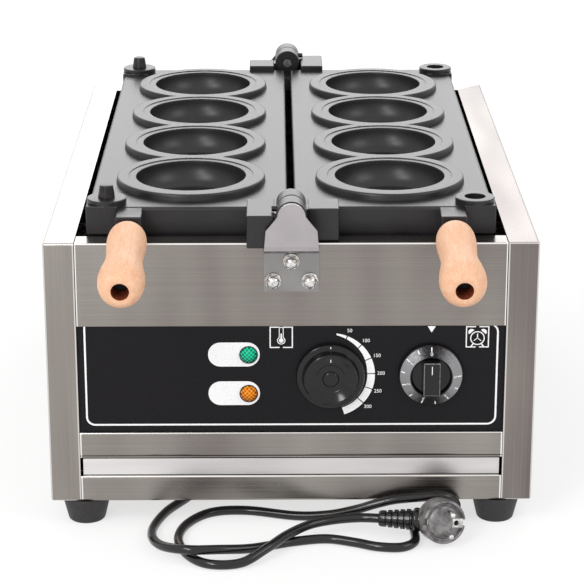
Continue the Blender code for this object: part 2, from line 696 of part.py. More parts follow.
def build_mould(name, turn, handle_end, carries_pins):
    """One cast mould: a skirted plate with four cups, corner bosses, hinge arms and a handle lug.
    It is modelled on the right of the hinge axis with its own origin on that axis. handle_end is -1
    where the handle is at the casting's own -Y end, which faces the front when it isn't turned."""
    hinge = axis_empty(f"{name}_hinge_axis", (0, MID_Y, AXIS_Z), (0, 0, turn))
    low = Vector((MOULD_INNER, -HALF_MOULD, -SKIRT_DEPTH))
    high = Vector((MOULD_OUTER, HALF_MOULD, -BASE_DROP))
    wall = Vector((MOULD_WALL, MOULD_WALL, MOULD_WALL))
    casting = block(f"{name}_mould", low, high, CASTING, MOULD_EDGE_RADIUS, parent=hinge)
    hollow_low = low + wall
    hollow_low.z = low.z - OVERRUN
    cut(casting, block(f"{name}_hollow", hollow_low, high - wall, parent=hinge))
    add_cups(casting, hinge, name)
    for end in (-1, 1):
        add_boss(casting, end, hinge, name, carries_pins)
        add_hinge_arm(casting, end, hinge, name)
    add_handle(casting, handle_end, hinge, name)
    return casting


def add_spun(shape, outline, centre, sides):
    """Adds a turned solid to a bmesh. The outline of (radius, height) points runs down its outer side
    and either starts and ends on the axis or closes on itself."""
    rings = []
    for radius, height in outline:
        if radius == 0:
            rings.append([shape.verts.new((*centre, height))] * sides)
        else:
            ring = arc(centre, radius, 0, 360 * DEG, sides)[:-1]
            rings.append([shape.verts.new((x, y, height)) for x, y in ring])
    followers = rings[1:] if outline[0][0] == 0 else rings[1:] + rings[:1]
    for upper, lower in zip(rings, followers):
        if upper[0] is upper[1] and lower[0] is lower[1]:
            continue
        for i in range(sides):
            j = (i + 1) % sides
            corners = [upper[i], lower[i], lower[j], upper[j]]
            shape.faces.new(list(dict.fromkeys(corners)))


def add_cups(casting, hinge, name):
    """Cuts four holes in the plate and joins four cups, each with its raised rim, and the webs
    between the rims. The cups are one hidden tool, since they don't touch each other."""
    holes, cups, webs = bmesh.new(), bmesh.new(), bmesh.new()
    step = -MATING_GAP - RIM_STEP
    inner = [(RIM_STEP_RADIUS, step)] + cup_curve(CUP_RADIUS, CUP_FLOOR_RADIUS, step, -CUP_DEPTH)
    outer = cup_curve(CUP_RADIUS + CUP_WALL, CUP_FLOOR_RADIUS + CUP_WALL, -BASE_DROP - CUP_WALL,
                      -CUP_DEPTH - CUP_WALL)[::2]
    cup = [(0, -CUP_DEPTH)] + inner[::-1] + [
        (RIM_STEP_RADIUS, -MATING_GAP), (RIM_TOP_RADIUS, -MATING_GAP), (RIM_FOOT_RADIUS, -BASE_DROP - RIM_ROOT),
    ] + outer + [(0, -CUP_DEPTH - CUP_WALL)]
    hole = ((0, OVERRUN), (CUP_HOLE_RADIUS, OVERRUN), (CUP_HOLE_RADIUS, -SKIRT_DEPTH / 2), (0, -SKIRT_DEPTH / 2))
    for index in range(CUP_COUNT):
        centre = (CUP_X, (index - (CUP_COUNT - 1) / 2) * CUP_PITCH)
        add_spun(holes, hole, centre, CUP_SIDES)
        add_spun(cups, cup, centre, CUP_SIDES)
        if index:
            made = bmesh.ops.create_cube(webs, size=1)["verts"]
            height = BASE_DROP + RIM_ROOT - RIM_BRIDGE_DROP
            bmesh.ops.scale(webs, vec=(RIM_BRIDGE_WIDTH, RIM_BRIDGE_LENGTH, height), verts=made)
            middle = (CUP_X, centre[1] - CUP_PITCH / 2, -RIM_BRIDGE_DROP - height / 2)
            bmesh.ops.translate(webs, vec=middle, verts=made)
    cut(casting, place(f"{name}_cup_holes", to_mesh(holes, f"{name}_cup_holes"), parent=hinge))
    weld(casting, place(f"{name}_cups", to_mesh(cups, f"{name}_cups"), parent=hinge))
    weld(casting, place(f"{name}_rim_webs", to_mesh(webs, f"{name}_rim_webs"), parent=hinge))


def add_boss(casting, end, hinge, name, carries_pins):
    """Joins a corner boss on its square block, with a bore, or with a shank hole and its pin."""
    x = MOULD_OUTER - BOSS_INSET_X
    y = end * (HALF_MOULD - BOSS_INSET_Y)
    far_y = end * (HALF_MOULD + BLOCK_PROUD_Y)
    near_y = far_y - end * BLOCK_LENGTH
    high_x = MOULD_OUTER + BLOCK_PROUD_X
    tag = f"{name}_{'first' if end < 0 else 'second'}"
    weld(casting, block(
        f"{tag}_block", (high_x - BLOCK_WIDTH, min(near_y, far_y), -LEDGE_DROP),
        (high_x, max(near_y, far_y), -BLOCK_DROP), parent=hinge,
    ))
    weld(casting, rod(
        f"{tag}_boss", BOSS_RADIUS, -BOSS_DEPTH, -MATING_GAP, sides=20, at=(x, y, 0), parent=hinge,
    ))
    hole = (PIN_RADIUS + GAP, PIN_SHANK_DEPTH) if carries_pins else (BORE_RADIUS, BORE_DEPTH)
    cut(casting, rod(
        f"{tag}_bore", hole[0], -hole[1], OVERRUN, sides=16, at=(x, y, 0), parent=hinge,
    ))
    if carries_pins:
        which = "rear" if end < 0 else "front"
        pin = (
            (0, PIN_RISE), (PIN_TIP_RADIUS - PIN_CHAMFER, PIN_RISE), (PIN_TIP_RADIUS, PIN_RISE - PIN_CHAMFER),
            (PIN_RADIUS, 0), (PIN_RADIUS, GAP - PIN_SHANK_DEPTH), (0, GAP - PIN_SHANK_DEPTH),
        )
        turned(f"{which}_locating_pin", pin, DARK_STEEL, sides=16, at=(x, y, 0), parent=hinge)


def add_hinge_arm(casting, end, hinge, name):
    """Joins an arm and its knuckle at one end. The casting's own -Y end has the inner knuckle."""
    face = HALF_MOULD + MOULD_SETBACK
    inner = end < 0
    far = face - KNUCKLE_SPACE if inner else face + KNUCKLE_REACH
    near = far - KNUCKLE_LENGTH
    plate_end = HALF_MOULD - ARM_LAP
    tag = f"{name}_{'inner' if inner else 'outer'}"

    def between(x_low, x_high, y_a, y_b, z_low, z_high):
        y_a, y_b = end * y_a, end * y_b
        return (x_low, min(y_a, y_b), z_low), (x_high, max(y_a, y_b), z_high)

    arm_end = far - ARM_SETBACK
    arm = between(ARM_INNER, ARM_OUTER, plate_end, arm_end, -LEDGE_DROP, -ARM_DROP)
    weld(casting, block(f"{tag}_arm", *arm, parent=hinge))
    knuckle = rod(
        f"{tag}_knuckle", KNUCKLE_RADIUS, min(end * near, end * far), max(end * near, end * far), sides=20,
        turn=(-90 * DEG, 0, 0), parent=hinge,
    )
    web = between(
        BITE, ARM_INNER + BITE, near + WEB_INSET, arm_end - WEB_INSET, WEB_INSET - LEDGE_DROP,
        -ARM_DROP - WEB_INSET,
    )
    weld(casting, knuckle)
    weld(casting, block(f"{tag}_web", *web, parent=hinge))
    bore_ends = sorted((end * (near - OVERRUN), end * (far + OVERRUN)))
    cut(casting, rod(
        f"{tag}_knuckle_bore", PIVOT_RADIUS + RUNNING_GAP, *bore_ends, sides=16, turn=(-90 * DEG, 0, 0),
        parent=hinge,
    ))
    if inner:
        return
    screw_y = end * (near + BUSH_SCREW_INSET)
    hole_low = KNUCKLE_RADIUS - BUSH_SCREW_DEPTH
    spot = {"at": (0, screw_y, BUSH_SCREW_RADIUS), "turn": (0, 90 * DEG, 0), "parent": hinge}
    cut(casting, rod(
        f"{tag}_screw_hole", BUSH_SCREW_RADIUS + GAP, hole_low - GAP, KNUCKLE_RADIUS + OVERRUN, sides=10, **spot
    ))
    rod(
        f"{name}_bush_screw", BUSH_SCREW_RADIUS, hole_low, KNUCKLE_RADIUS + BUSH_SCREW_PROUD, DARK_STEEL,
        sides=10, **spot
    )


def add_handle(casting, end, hinge, name):
    """Joins the handle lug, and hangs the tilted rod, its wooden grip and its nut on it."""
    face = end * (HALF_MOULD + MOULD_SETBACK)
    inside = end * (HALF_MOULD - BITE)
    weld(casting, block(
        f"{name}_lug", (LUG_INNER, min(face, inside), -LEDGE_DROP), (LUG_INNER + LUG_WIDTH, max(face, inside), -LUG_DROP),
        parent=hinge,
    ))
    # The holder's own +Z runs out along the handle, and its own X is up and ahead.
    holder = axis_empty(f"{name}_handle_line", (HANDLE_X, face, -HANDLE_DROP))
    holder.parent = hinge
    holder.rotation_euler = (-end * (90 * DEG + HANDLE_TILT), 0, 0)
    cut(casting, rod(
        f"{name}_rod_socket", ROD_RADIUS + GAP, -ROD_SOCKET, OVERRUN, parent=holder,
    ))
    mouth = GRIP_START + GRIP_LENGTH - GRIP_MOUTH_DEPTH
    nut_end = mouth + GAP + GRIP_NUT_LENGTH
    rod(f"{name}_handle_rod", ROD_RADIUS, GAP - ROD_SOCKET, mouth, BRIGHT_STEEL, parent=holder)
    rod(
        f"{name}_grip_nut", GRIP_NUT_RADIUS, mouth + GAP, nut_end, DARK_STEEL, sides=HEX_SIDES, parent=holder,
    )
    outside = [
        (thick * GRIP_RADIUS, GRIP_START + along * GRIP_LENGTH)
        for along, thick in reversed(GRIP_OUTLINE_SHARES)
    ]
    bore = [
        (GRIP_BORE_RADIUS, GRIP_START), (GRIP_BORE_RADIUS, mouth), (GRIP_MOUTH_RADIUS, mouth),
        (GRIP_MOUTH_RADIUS, GRIP_START + GRIP_LENGTH),
    ]
    turned(
        f"{name}_grip", outside + bore, WOOD, sides=GRIP_SIDES, turn=(0, 0, 90 * DEG), parent=holder,
    )


def build_tray():
    """Drip tray on two ledges, pulled out at the front."""
    low = BOTTOM_Z + TRAY_BOTTOM
    slide = axis_empty("tray_slide_axis", (0, FRONT_Y + TRAY_SETBACK, low))
    box_shell(
        "drip_tray", (-TRAY_WIDTH / 2, 0, 0), (TRAY_WIDTH / 2, TRAY_LENGTH, TRAY_HEIGHT), ((2, 1),),
        BRIGHT_STEEL, parent=slide,
    )
    ledge = low - GAP
    inner, leg = TRAY_WIDTH / 2 - TRAY_LAP, INNER_HALF - SHEET
    start = FRONT_Y + RAIL_RETURN + GAP
    for side, name in ((-1, "left"), (1, "right")):
        section = [(side * inner, ledge), (side * leg, ledge), (side * leg, ledge + RUNNER_HEIGHT)]
        if side < 0:
            section.reverse()
        strip(
            f"{name}_tray_runner", section, start, start + RUNNER_LENGTH, STAINLESS, along="Y", fold=0,
        )


def heater_points(side):
    """Line of one tubular heater: up from a terminal, to and fro in four legs, and down again."""
    height = BOTTOM_Z + HEATER_HEIGHT
    turn = HEATER_PITCH / 2
    front, rear = FRONT_Y + HEATER_FRONT, FRONT_Y + HEATER_REAR
    corner = FRONT_Y + HEATER_TERMINAL
    drop = height - HEATER_TERMINAL_DROP
    bend = HEATER_PITCH / 3
    legs = [HEATER_FIRST_LEG + i * HEATER_PITCH for i in range(HEATER_LEGS)]
    rise = arc((corner + bend, height - bend), bend, 180 * DEG, 90 * DEG, HEATER_ARC_STEPS)
    points = [(legs[0], corner, drop)] + [(legs[0], y, z) for y, z in rise]
    for i, leg in enumerate(legs[:-1]):
        middle = leg + turn
        if i % 2 == 0:
            bow = arc((middle, rear - turn), turn, 180 * DEG, 0, HEATER_ARC_STEPS)
        else:
            bow = arc((middle, front + turn), turn, 180 * DEG, 360 * DEG, HEATER_ARC_STEPS)
        points += [(x, y, height) for x, y in bow]
    points += [(legs[-1], y, z) for y, z in reversed(rise)] + [(legs[-1], corner, drop)]
    return [(side * x, y, z) for x, y, z in points]


def build_heat_well():
    """Two tubular heaters on cross rails, and the shield that keeps the heat off the controls."""
    rail_top = BOTTOM_Z + HEATER_HEIGHT - HEATER_RADIUS - GAP
    for name, place_y in (("front", HEATER_RAIL_FRONT), ("rear", HEATER_RAIL_REAR)):
        block(
            f"{name}_heater_rail", (-INNER_HALF, FRONT_Y + place_y, rail_top - HEATER_RAIL_HEIGHT),
            (INNER_HALF, FRONT_Y + place_y + SHEET + SHEET, rail_top), STAINLESS,
        )
    top = BOTTOM_Z + SHIELD_TOP
    shield = strip(
        "heat_shield",
        ((FRONT_Y + SHIELD_FRONT, BOTTOM_Z + SHIELD_BOTTOM), (FRONT_Y + SHIELD_FRONT, top),
         (FRONT_Y + SHEET + GAP, top)),
        -CLEAR_HALF, CLEAR_HALF, STAINLESS,
    )
    for side, name in ((-1, "left"), (1, "right")):
        tube(f"{name}_heater", heater_points(side), HEATER_RADIUS, DARK_STEEL)
        for leg in (0, HEATER_LEGS - 1):
            x = side * (HEATER_FIRST_LEG + leg * HEATER_PITCH)
            cut(shield, rod(
                f"{name}_terminal_hole_{leg}", HEATER_HOLE_RADIUS, -SHEET - OVERRUN, SHEET + OVERRUN, sides=12,
                at=(x, FRONT_Y + HEATER_TERMINAL, top),
            ))


def build_controls():
    """Control panel with its printed overlay, lamps, timer, thermostat and terminal block."""
    bottom = BOTTOM_Z + UPPER_RAIL_TOP
    panel_top = BOTTOM_Z + FRONT_PANEL_BOTTOM - GAP
    half = FRONT_HALF + CONTROL_LAP
    panel = block(
        "control_panel", (-half, CONTROL_FRONT, bottom + GAP), (half, CONTROL_FRONT + SHEET, panel_top), STAINLESS,
    )
    overlay = block(
        "control_overlay", (-OVERLAY_WIDTH / 2, OVERLAY_FRONT, bottom + OVERLAY_MARGIN),
        (OVERLAY_WIDTH / 2, OVERLAY_FRONT + OVERLAY_THICKNESS, panel_top), BLACK_PLASTIC,
    )
    through = CONTROL_SETBACK + SHEET + OVERRUN
    holes = (
        ("timer_hole", TIMER_X, TIMER_Z, SHAFT_HOLE_RADIUS),
        ("thermostat_hole", THERMOSTAT_X, THERMOSTAT_Z, SHAFT_HOLE_RADIUS),
        ("green_lamp_hole", LAMP_X, GREEN_LAMP_Z, LAMP_BARREL_RADIUS + GAP),
        ("amber_lamp_hole", LAMP_X, AMBER_LAMP_Z, LAMP_BARREL_RADIUS + GAP),
    )
    for name, x, z, radius in holes:
        tool = rod(
            name, radius, -through, through, sides=12, at=(x, CONTROL_FRONT, BOTTOM_Z + z), turn=FACING_FRONT,
        )
        cut(panel, tool)
        cut(overlay, tool)
    lens = [(LAMP_RADIUS * math.cos(a), GAP + LAMP_DOME * math.sin(a)) for a in (90 * DEG, 60 * DEG, 30 * DEG)]
    lens[0] = (0, GAP + LAMP_DOME)
    lens += [(LAMP_RADIUS, GAP + LAMP_DOME / 4), (LAMP_RADIUS, GAP), (LAMP_BARREL_RADIUS, GAP)]
    lens += [(LAMP_BARREL_RADIUS, -LAMP_BARREL_LENGTH), (0, -LAMP_BARREL_LENGTH)]
    for name, z, finish in (("green_lamp", GREEN_LAMP_Z, GREEN_LENS), ("amber_lamp", AMBER_LAMP_Z, AMBER_LENS)):
        turned(
            name, lens, finish, sides=16, at=(LAMP_X, OVERLAY_FRONT, BOTTOM_Z + z), turn=FACING_FRONT,
        )
    build_timer()
    build_thermostat()
    shield_y = FRONT_Y + SHIELD_FRONT - GAP
    terminal = block(
        "terminal_block",
        (TERMINAL_X - TERMINAL_WIDTH / 2, shield_y - TERMINAL_DEPTH, BOTTOM_Z + TERMINAL_Z),
        (TERMINAL_X + TERMINAL_WIDTH / 2, shield_y, BOTTOM_Z + TERMINAL_Z + TERMINAL_HEIGHT), CREAM_PLASTIC,
    )
    for i in range(1, TERMINAL_WAYS):
        x = TERMINAL_X + TERMINAL_WIDTH * (i / TERMINAL_WAYS - 1 / 2)
        cut(terminal, block(
            f"terminal_slot_{i}",
            (x - TERMINAL_SLOT / 2, shield_y - TERMINAL_DEPTH - OVERRUN, BOTTOM_Z + TERMINAL_Z - OVERRUN),
            (x + TERMINAL_SLOT / 2, shield_y - TERMINAL_DEPTH / 2,
             BOTTOM_Z + TERMINAL_Z + TERMINAL_HEIGHT + OVERRUN),
        ))


def build_timer():
    """Clockwork timer: body behind the panel, shaft and a skirted knob with a finger bar."""
    z = BOTTOM_Z + TIMER_Z
    axis = axis_empty("timer_axis", (TIMER_X, OVERLAY_FRONT - KNOB_LIFT, z), FACING_FRONT)
    well = TIMER_SKIRT_HEIGHT - TIMER_WELL_DEPTH
    skirt = (
        (0, well), (TIMER_WELL_RADIUS, well), (TIMER_WELL_RADIUS + KNOB_EDGE, TIMER_SKIRT_HEIGHT),
        (TIMER_KNOB_RADIUS - KNOB_EDGE, TIMER_SKIRT_EDGE + KNOB_EDGE), (TIMER_KNOB_RADIUS, TIMER_SKIRT_EDGE),
        (TIMER_KNOB_RADIUS, 0), (0, 0),
    )
    knob = turned("timer_knob", skirt, BLACK_PLASTIC, sides=KNOB_SIDES, parent=axis)
    weld(knob, block(
        "timer_finger_bar", (-TIMER_GRIP_WIDTH / 2, -TIMER_GRIP_LENGTH / 2, well - BITE),
        (TIMER_GRIP_WIDTH / 2, TIMER_GRIP_LENGTH / 2, TIMER_GRIP_HEIGHT), edge_radius=TIMER_GRIP_ROUND,
        parent=axis,
    ))
    cut(knob, rod("timer_knob_socket", SHAFT_RADIUS + GAP, -OVERRUN, KNOB_SOCKET, parent=axis))
    shaft_end = KNOB_SOCKET - GAP
    rod("timer_shaft", SHAFT_RADIUS, shaft_end - SHAFT_LENGTH, shaft_end, BRIGHT_STEEL, parent=axis)
    control_body("timer_body", TIMER_X, z, TIMER_BODY_SIZE, TIMER_BODY_SIZE)


def control_body(name, x, z, width, height):
    """Body of a control behind the panel, with a threaded bush round its shaft hole."""
    back = CONTROL_FRONT + SHEET + GAP
    body = block(
        name, (x - width / 2, back, z - height / 2), (x + width / 2, back + BLOCK_DEPTH, z + height / 2),
        CREAM_PLASTIC,
    )
    bush_front = back - OVERLAY_FRONT
    weld(body, rod(f"{name}_bush", BODY_BUSH_RADIUS, -BITE, bush_front, at=(x, back, z), turn=FACING_FRONT))
    cut(body, rod(
        f"{name}_bore", SHAFT_RADIUS + RUNNING_GAP, -SHAFT_LENGTH, bush_front + OVERRUN, at=(x, back, z),
        turn=FACING_FRONT,
    ))


def build_thermostat():
    """Thermostat: body behind the panel, shaft and a skirted knob with a dished top."""
    z = BOTTOM_Z + THERMOSTAT_Z
    axis = axis_empty("thermostat_axis", (THERMOSTAT_X, OVERLAY_FRONT - KNOB_LIFT, z), FACING_FRONT)
    dish = THERMOSTAT_KNOB_HEIGHT - THERMOSTAT_DISH_DEPTH
    outline = (
        (0, dish), (THERMOSTAT_DISH_RADIUS, dish),
        (THERMOSTAT_DISH_RADIUS + KNOB_EDGE, THERMOSTAT_KNOB_HEIGHT),
        (THERMOSTAT_KNOB_RADIUS - THERMOSTAT_KNOB_TAPER, THERMOSTAT_KNOB_HEIGHT),
        (THERMOSTAT_KNOB_RADIUS, THERMOSTAT_SKIRT_HEIGHT + KNOB_EDGE),
        (THERMOSTAT_SKIRT_RADIUS - KNOB_EDGE, THERMOSTAT_SKIRT_HEIGHT),
        (THERMOSTAT_SKIRT_RADIUS, THERMOSTAT_SKIRT_HEIGHT - KNOB_EDGE), (THERMOSTAT_SKIRT_RADIUS, 0), (0, 0),
    )
    knob = turned("thermostat_knob", outline, BLACK_PLASTIC, sides=KNOB_SIDES, parent=axis)
    weld(knob, block(
        "thermostat_finger_bar", (-THERMOSTAT_GRIP_WIDTH / 2, -THERMOSTAT_DISH_RADIUS, dish - BITE),
        (THERMOSTAT_GRIP_WIDTH / 2, THERMOSTAT_DISH_RADIUS, THERMOSTAT_KNOB_HEIGHT + BITE), parent=axis,
    ))
    cut(knob, rod("thermostat_knob_socket", SHAFT_RADIUS + GAP, -OVERRUN, KNOB_SOCKET, parent=axis))
    shaft_end = KNOB_SOCKET - GAP
    rod("thermostat_shaft", SHAFT_RADIUS, shaft_end - SHAFT_LENGTH, shaft_end, BRIGHT_STEEL, parent=axis)
    control_body("thermostat_body", THERMOSTAT_X, z, THERMOSTAT_BODY_WIDTH, THERMOSTAT_BODY_HEIGHT)


def smooth_route(points, steps):
    """Evenly spaced points on a smooth curve through the route's own points."""
    fine = []
    padded = [points[0] * 2 - points[1]] + points + [points[-1] * 2 - points[-2]]
    for before, start, end, after in zip(padded, padded[1:], padded[2:], padded[3:]):
        for i in range(CORD_FINE_STEPS):
            t = i / CORD_FINE_STEPS
            fine.append((
                start * 2 + (end - before) * t
                + (before * 2 - start * 5 + end * 4 - after) * t ** 2
                + (start * 3 - before - end * 3 + after) * t ** 3
            ) / 2)
    fine.append(points[-1])
    walked = [0.0]
    for start, end in zip(fine, fine[1:]):
        walked.append(walked[-1] + (end - start).length)
    even, at = [], 0
    for i in range(steps + 1):
        wanted = walked[-1] * i / steps
        while at < len(fine) - 2 and walked[at + 1] < wanted:
            at += 1
        share = (wanted - walked[at]) / (walked[at + 1] - walked[at])
        even.append(fine[at].lerp(fine[at + 1], share))
    return even, walked[-1]


def build_cord():
    """Gland on the rear panel, the mains cord lying on the floor, and its moulded plug."""
    flange = GLAND_FLANGE + GAP
    gland = (
        (CORD_RADIUS + GAP, GLAND_LENGTH), (GLAND_TIP_RADIUS, GLAND_LENGTH), (GLAND_RADIUS, flange),
        (GLAND_FLANGE_RADIUS, flange), (GLAND_FLANGE_RADIUS, GAP), (GLAND_NECK_RADIUS, GAP),
        (GLAND_NECK_RADIUS, -GLAND_INNER_LENGTH), (CORD_RADIUS + GAP, -GLAND_INNER_LENGTH),
    )
    turned(
        "cord_gland", gland, BLACK_PLASTIC, sides=GLAND_SIDES, at=(GLAND_X, REAR_Y, GLAND_Z),
        turn=(-90 * DEG, 0, 0),
    )
    route, length = smooth_route(CORD_ROUTE, CORD_STEPS)
    tube("power_cord", route, CORD_RADIUS, RUBBER, at=(0, FRONT_Y, 0))
    print(f"cord length {length:.3f} m")

    axis_y = FRONT_Y + PLUG_Y
    holder = axis_empty("plug_line", (PLUG_X, axis_y, PLUG_RADIUS + GAP), (90 * DEG, 0, PLUG_YAW))
    body = turned("plug", (
        (0, 0), (PLUG_RADIUS - PLUG_EDGE, 0), (PLUG_RADIUS, -PLUG_EDGE),
        (PLUG_RADIUS, -PLUG_DEPTH + PLUG_DOME),
        (PLUG_RADIUS * PLUG_BACK_SHARE, -PLUG_DEPTH + PLUG_DOME / 4), (PLUG_RADIUS / 2, -PLUG_DEPTH),
        (0, -PLUG_DEPTH),
    ), GREY_PLASTIC, sides=22, parent=holder)
    boot = [(0, BOOT_LENGTH), (BOOT_TIP_RADIUS, BOOT_LENGTH)]
    ribbed = (BOOT_LENGTH - PLUG_RADIUS) / (BOOT_RIBS + 1)
    for i in range(BOOT_RIBS):
        middle = BOOT_LENGTH - ribbed * (i + 1)
        thick = BOOT_TIP_RADIUS + (BOOT_RADIUS - BOOT_TIP_RADIUS) * (i + 1) / (BOOT_RIBS + 1)
        boot += [(thick, middle + ribbed / 4), (thick - BOOT_RIB_DEPTH, middle + ribbed / 8),
                 (thick - BOOT_RIB_DEPTH, middle - ribbed / 8), (thick, middle - ribbed / 4)]
    boot += [(BOOT_RADIUS, PLUG_RADIUS - BITE), (BOOT_RADIUS, 0), (0, 0)]
    weld(body, turned(
        "plug_boot", boot, sides=12, at=(0, 0, -BOOT_BACK), turn=(0, -90 * DEG + BOOT_YAW, 0), parent=holder,
    ))
    for side in (-1, 1):
        cut(body, block(
            f"plug_notch_{'lower' if side < 0 else 'upper'}",
            (side * (PLUG_RADIUS - PLUG_NOTCH_DEPTH / 2) - PLUG_NOTCH_DEPTH, -PLUG_NOTCH_WIDTH / 2, -PLUG_DOME),
            (side * (PLUG_RADIUS - PLUG_NOTCH_DEPTH / 2) + PLUG_NOTCH_DEPTH, PLUG_NOTCH_WIDTH / 2, OVERRUN),
            parent=holder,
        ))
        rod(
            f"plug_pin_{'lower' if side < 0 else 'upper'}", PLUG_PIN_RADIUS, GAP, PLUG_PIN_LENGTH,
            BRIGHT_STEEL, sides=12, at=(0, side * PLUG_PIN_SPREAD, 0), parent=holder,
        )


build_body()
build_hinge_brackets()
build_mould("left", 180 * DEG, 1, True)
build_mould("right", 0, -1, False)
build_tray()
build_heat_well()
build_controls()
build_cord()
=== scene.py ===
import math

import bmesh
import bpy
from mathutils import Euler, Matrix, Vector


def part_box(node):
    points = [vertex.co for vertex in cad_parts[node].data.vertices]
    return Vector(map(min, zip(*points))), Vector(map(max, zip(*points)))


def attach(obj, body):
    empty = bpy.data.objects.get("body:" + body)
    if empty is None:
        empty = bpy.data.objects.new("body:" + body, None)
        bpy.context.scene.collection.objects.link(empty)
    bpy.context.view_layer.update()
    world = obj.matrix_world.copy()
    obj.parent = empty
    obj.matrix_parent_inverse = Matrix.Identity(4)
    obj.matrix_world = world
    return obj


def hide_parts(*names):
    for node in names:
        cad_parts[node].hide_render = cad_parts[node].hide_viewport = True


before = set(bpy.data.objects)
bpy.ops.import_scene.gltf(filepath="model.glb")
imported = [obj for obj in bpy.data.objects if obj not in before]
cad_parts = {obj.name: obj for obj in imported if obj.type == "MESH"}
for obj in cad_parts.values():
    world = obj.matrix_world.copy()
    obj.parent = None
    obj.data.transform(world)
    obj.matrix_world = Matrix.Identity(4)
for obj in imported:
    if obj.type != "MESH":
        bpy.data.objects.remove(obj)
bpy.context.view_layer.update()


# Studio: a camera where the photographer stood, a pale floor under a white backdrop, three soft
# boxes and a small lamp. The box behind gives the tops of the moulds and of the body their pale
# sheen, and the small lamp gives cord, plug and nuts their bright spots.

def linear(colour):
    """An sRGB hex colour as the linear value that a shader socket takes."""
    shares = [int(colour[i:i + 2], 16) / 255 for i in (1, 3, 5)]
    return [s / 12.92 if s <= 0.04045 else ((s + 0.055) / 1.055) ** 2.4 for s in shares] + [1]


def add_node(owner, kind, inputs=None, **settings):
    """Adds one node to a material or world. Each input is a plain value, or an output to link."""
    node = owner.node_tree.nodes.new(kind)
    for key, value in settings.items():
        setattr(node, key, value)
    for key, value in (inputs or {}).items():
        if isinstance(value, bpy.types.NodeSocket):
            owner.node_tree.links.new(value, node.inputs[key])
        else:
            node.inputs[key].default_value = value
    return node


def looked_at(owner):
    """Gives 1 to rays from the camera, a reflection or a clear piece, and 0 to the others."""
    path = add_node(owner, "ShaderNodeLightPath")
    straight = add_node(owner, "ShaderNodeMath", {
        0: path.outputs["Is Camera Ray"], 1: path.outputs["Is Glossy Ray"]}, operation="MAXIMUM")
    any_of_them = add_node(owner, "ShaderNodeMath", {
        0: straight.outputs[0], 1: path.outputs["Is Transmission Ray"]}, operation="MAXIMUM")
    return any_of_them.outputs[0]


scene = bpy.context.scene
scene.view_settings.view_transform = "Standard"
camera = bpy.data.objects.new("camera", bpy.data.cameras.new("camera"))
camera.data.sensor_width, camera.data.lens = 36, 136.15
camera.location = (-0.01397, -2.06313, 0.83712)
camera.rotation_euler = (math.radians(71.278), 0, math.radians(-0.46))
scene.collection.objects.link(camera)
scene.camera = camera

world = bpy.data.worlds.new("white_backdrop")
scene.world = world
world.use_nodes = True
world.node_tree.nodes.clear()
room_light = add_node(world, "ShaderNodeBackground", {"Color": linear("#ffffff"), "Strength": 0.8})
backdrop = add_node(world, "ShaderNodeBackground", {"Color": linear("#ffffff"), "Strength": 1.0})
either = add_node(world, "ShaderNodeMixShader", {
    0: looked_at(world), 1: room_light.outputs[0], 2: backdrop.outputs[0]})
add_node(world, "ShaderNodeOutputWorld", {"Surface": either.outputs[0]})

# Matt white floor: the camera sees it nearly as bright as the backdrop, with its shadows.
pale_floor = bpy.data.materials.new("matt_white_floor")
pale_floor.use_nodes = True
pale_floor.node_tree.nodes.clear()
shaded = add_node(pale_floor, "ShaderNodeBsdfDiffuse", {"Color": [0.36, 0.36, 0.36, 1]})
glowing = add_node(pale_floor, "ShaderNodeEmission", {"Color": [1, 1, 1, 1], "Strength": 0.66})
both = add_node(pale_floor, "ShaderNodeAddShader", {0: shaded.outputs[0], 1: glowing.outputs[0]})
plain = add_node(pale_floor, "ShaderNodeBsdfDiffuse", {"Color": [0.7, 0.7, 0.7, 1]})
either = add_node(pale_floor, "ShaderNodeMixShader", {
    0: looked_at(pale_floor), 1: plain.outputs[0], 2: both.outputs[0]})
add_node(pale_floor, "ShaderNodeOutputMaterial", {"Surface": either.outputs[0]})

shape = bmesh.new()
bmesh.ops.create_circle(shape, cap_ends=True, segments=64, radius=9)
floor_mesh = bpy.data.meshes.new("floor")
shape.to_mesh(floor_mesh)
shape.free()
floor_mesh.materials.append(pale_floor)
floor = bpy.data.objects.new("floor", floor_mesh)
scene.collection.objects.link(floor)

LAMPS_AIM = Vector((0, 0.05, 0.2))
for name, spot, size, watts in (
    ("softbox_left", (-1.3, -1.9, 1.9), (0.9, 0.9), 18),
    ("softbox_right", (1.9, -1.1, 1.5), (1.2, 1.0), 9),
    ("softbox_behind", (0, 3.0, 1.42), (3.0, 1.25), 30),
    ("small_bright_lamp", (-0.75, -1.9, 0.95), (0.35, 0.35), 6),
):
    lamp = bpy.data.lights.new(name, "AREA")
    lamp.shape, lamp.energy = "RECTANGLE", watts
    lamp.size, lamp.size_y = size
    holder = bpy.data.objects.new(name, lamp)
    holder.location = spot
    holder.rotation_euler = (Vector(spot) - LAMPS_AIM).to_track_quat("Z", "Y").to_euler()
    holder.visible_camera = False
    scene.collection.objects.link(holder)


# Sheet body: folded 1.2 mm stainless sheet with a ground grain that runs along each piece. The
# front panel laps over the top of the control overlay, and the rail over the tray's opening.

MM = 0.001
front_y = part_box("front_panel")[0].y
rear_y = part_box("rear_panel")[1].y


def new_material(name, colour, roughness, **values):
    """Starts a material from plain values on its Principled shader. Returns it and the shader."""
    material = bpy.data.materials.new(name)
    material.use_nodes = True
    material.node_tree.nodes.clear()
    shader = add_node(material, "ShaderNodeBsdfPrincipled", {
        "Base Color": linear(colour), "Roughness": roughness, **values})
    add_node(material, "ShaderNodeOutputMaterial", {"Surface": shader.outputs[0]})
    return material, shader


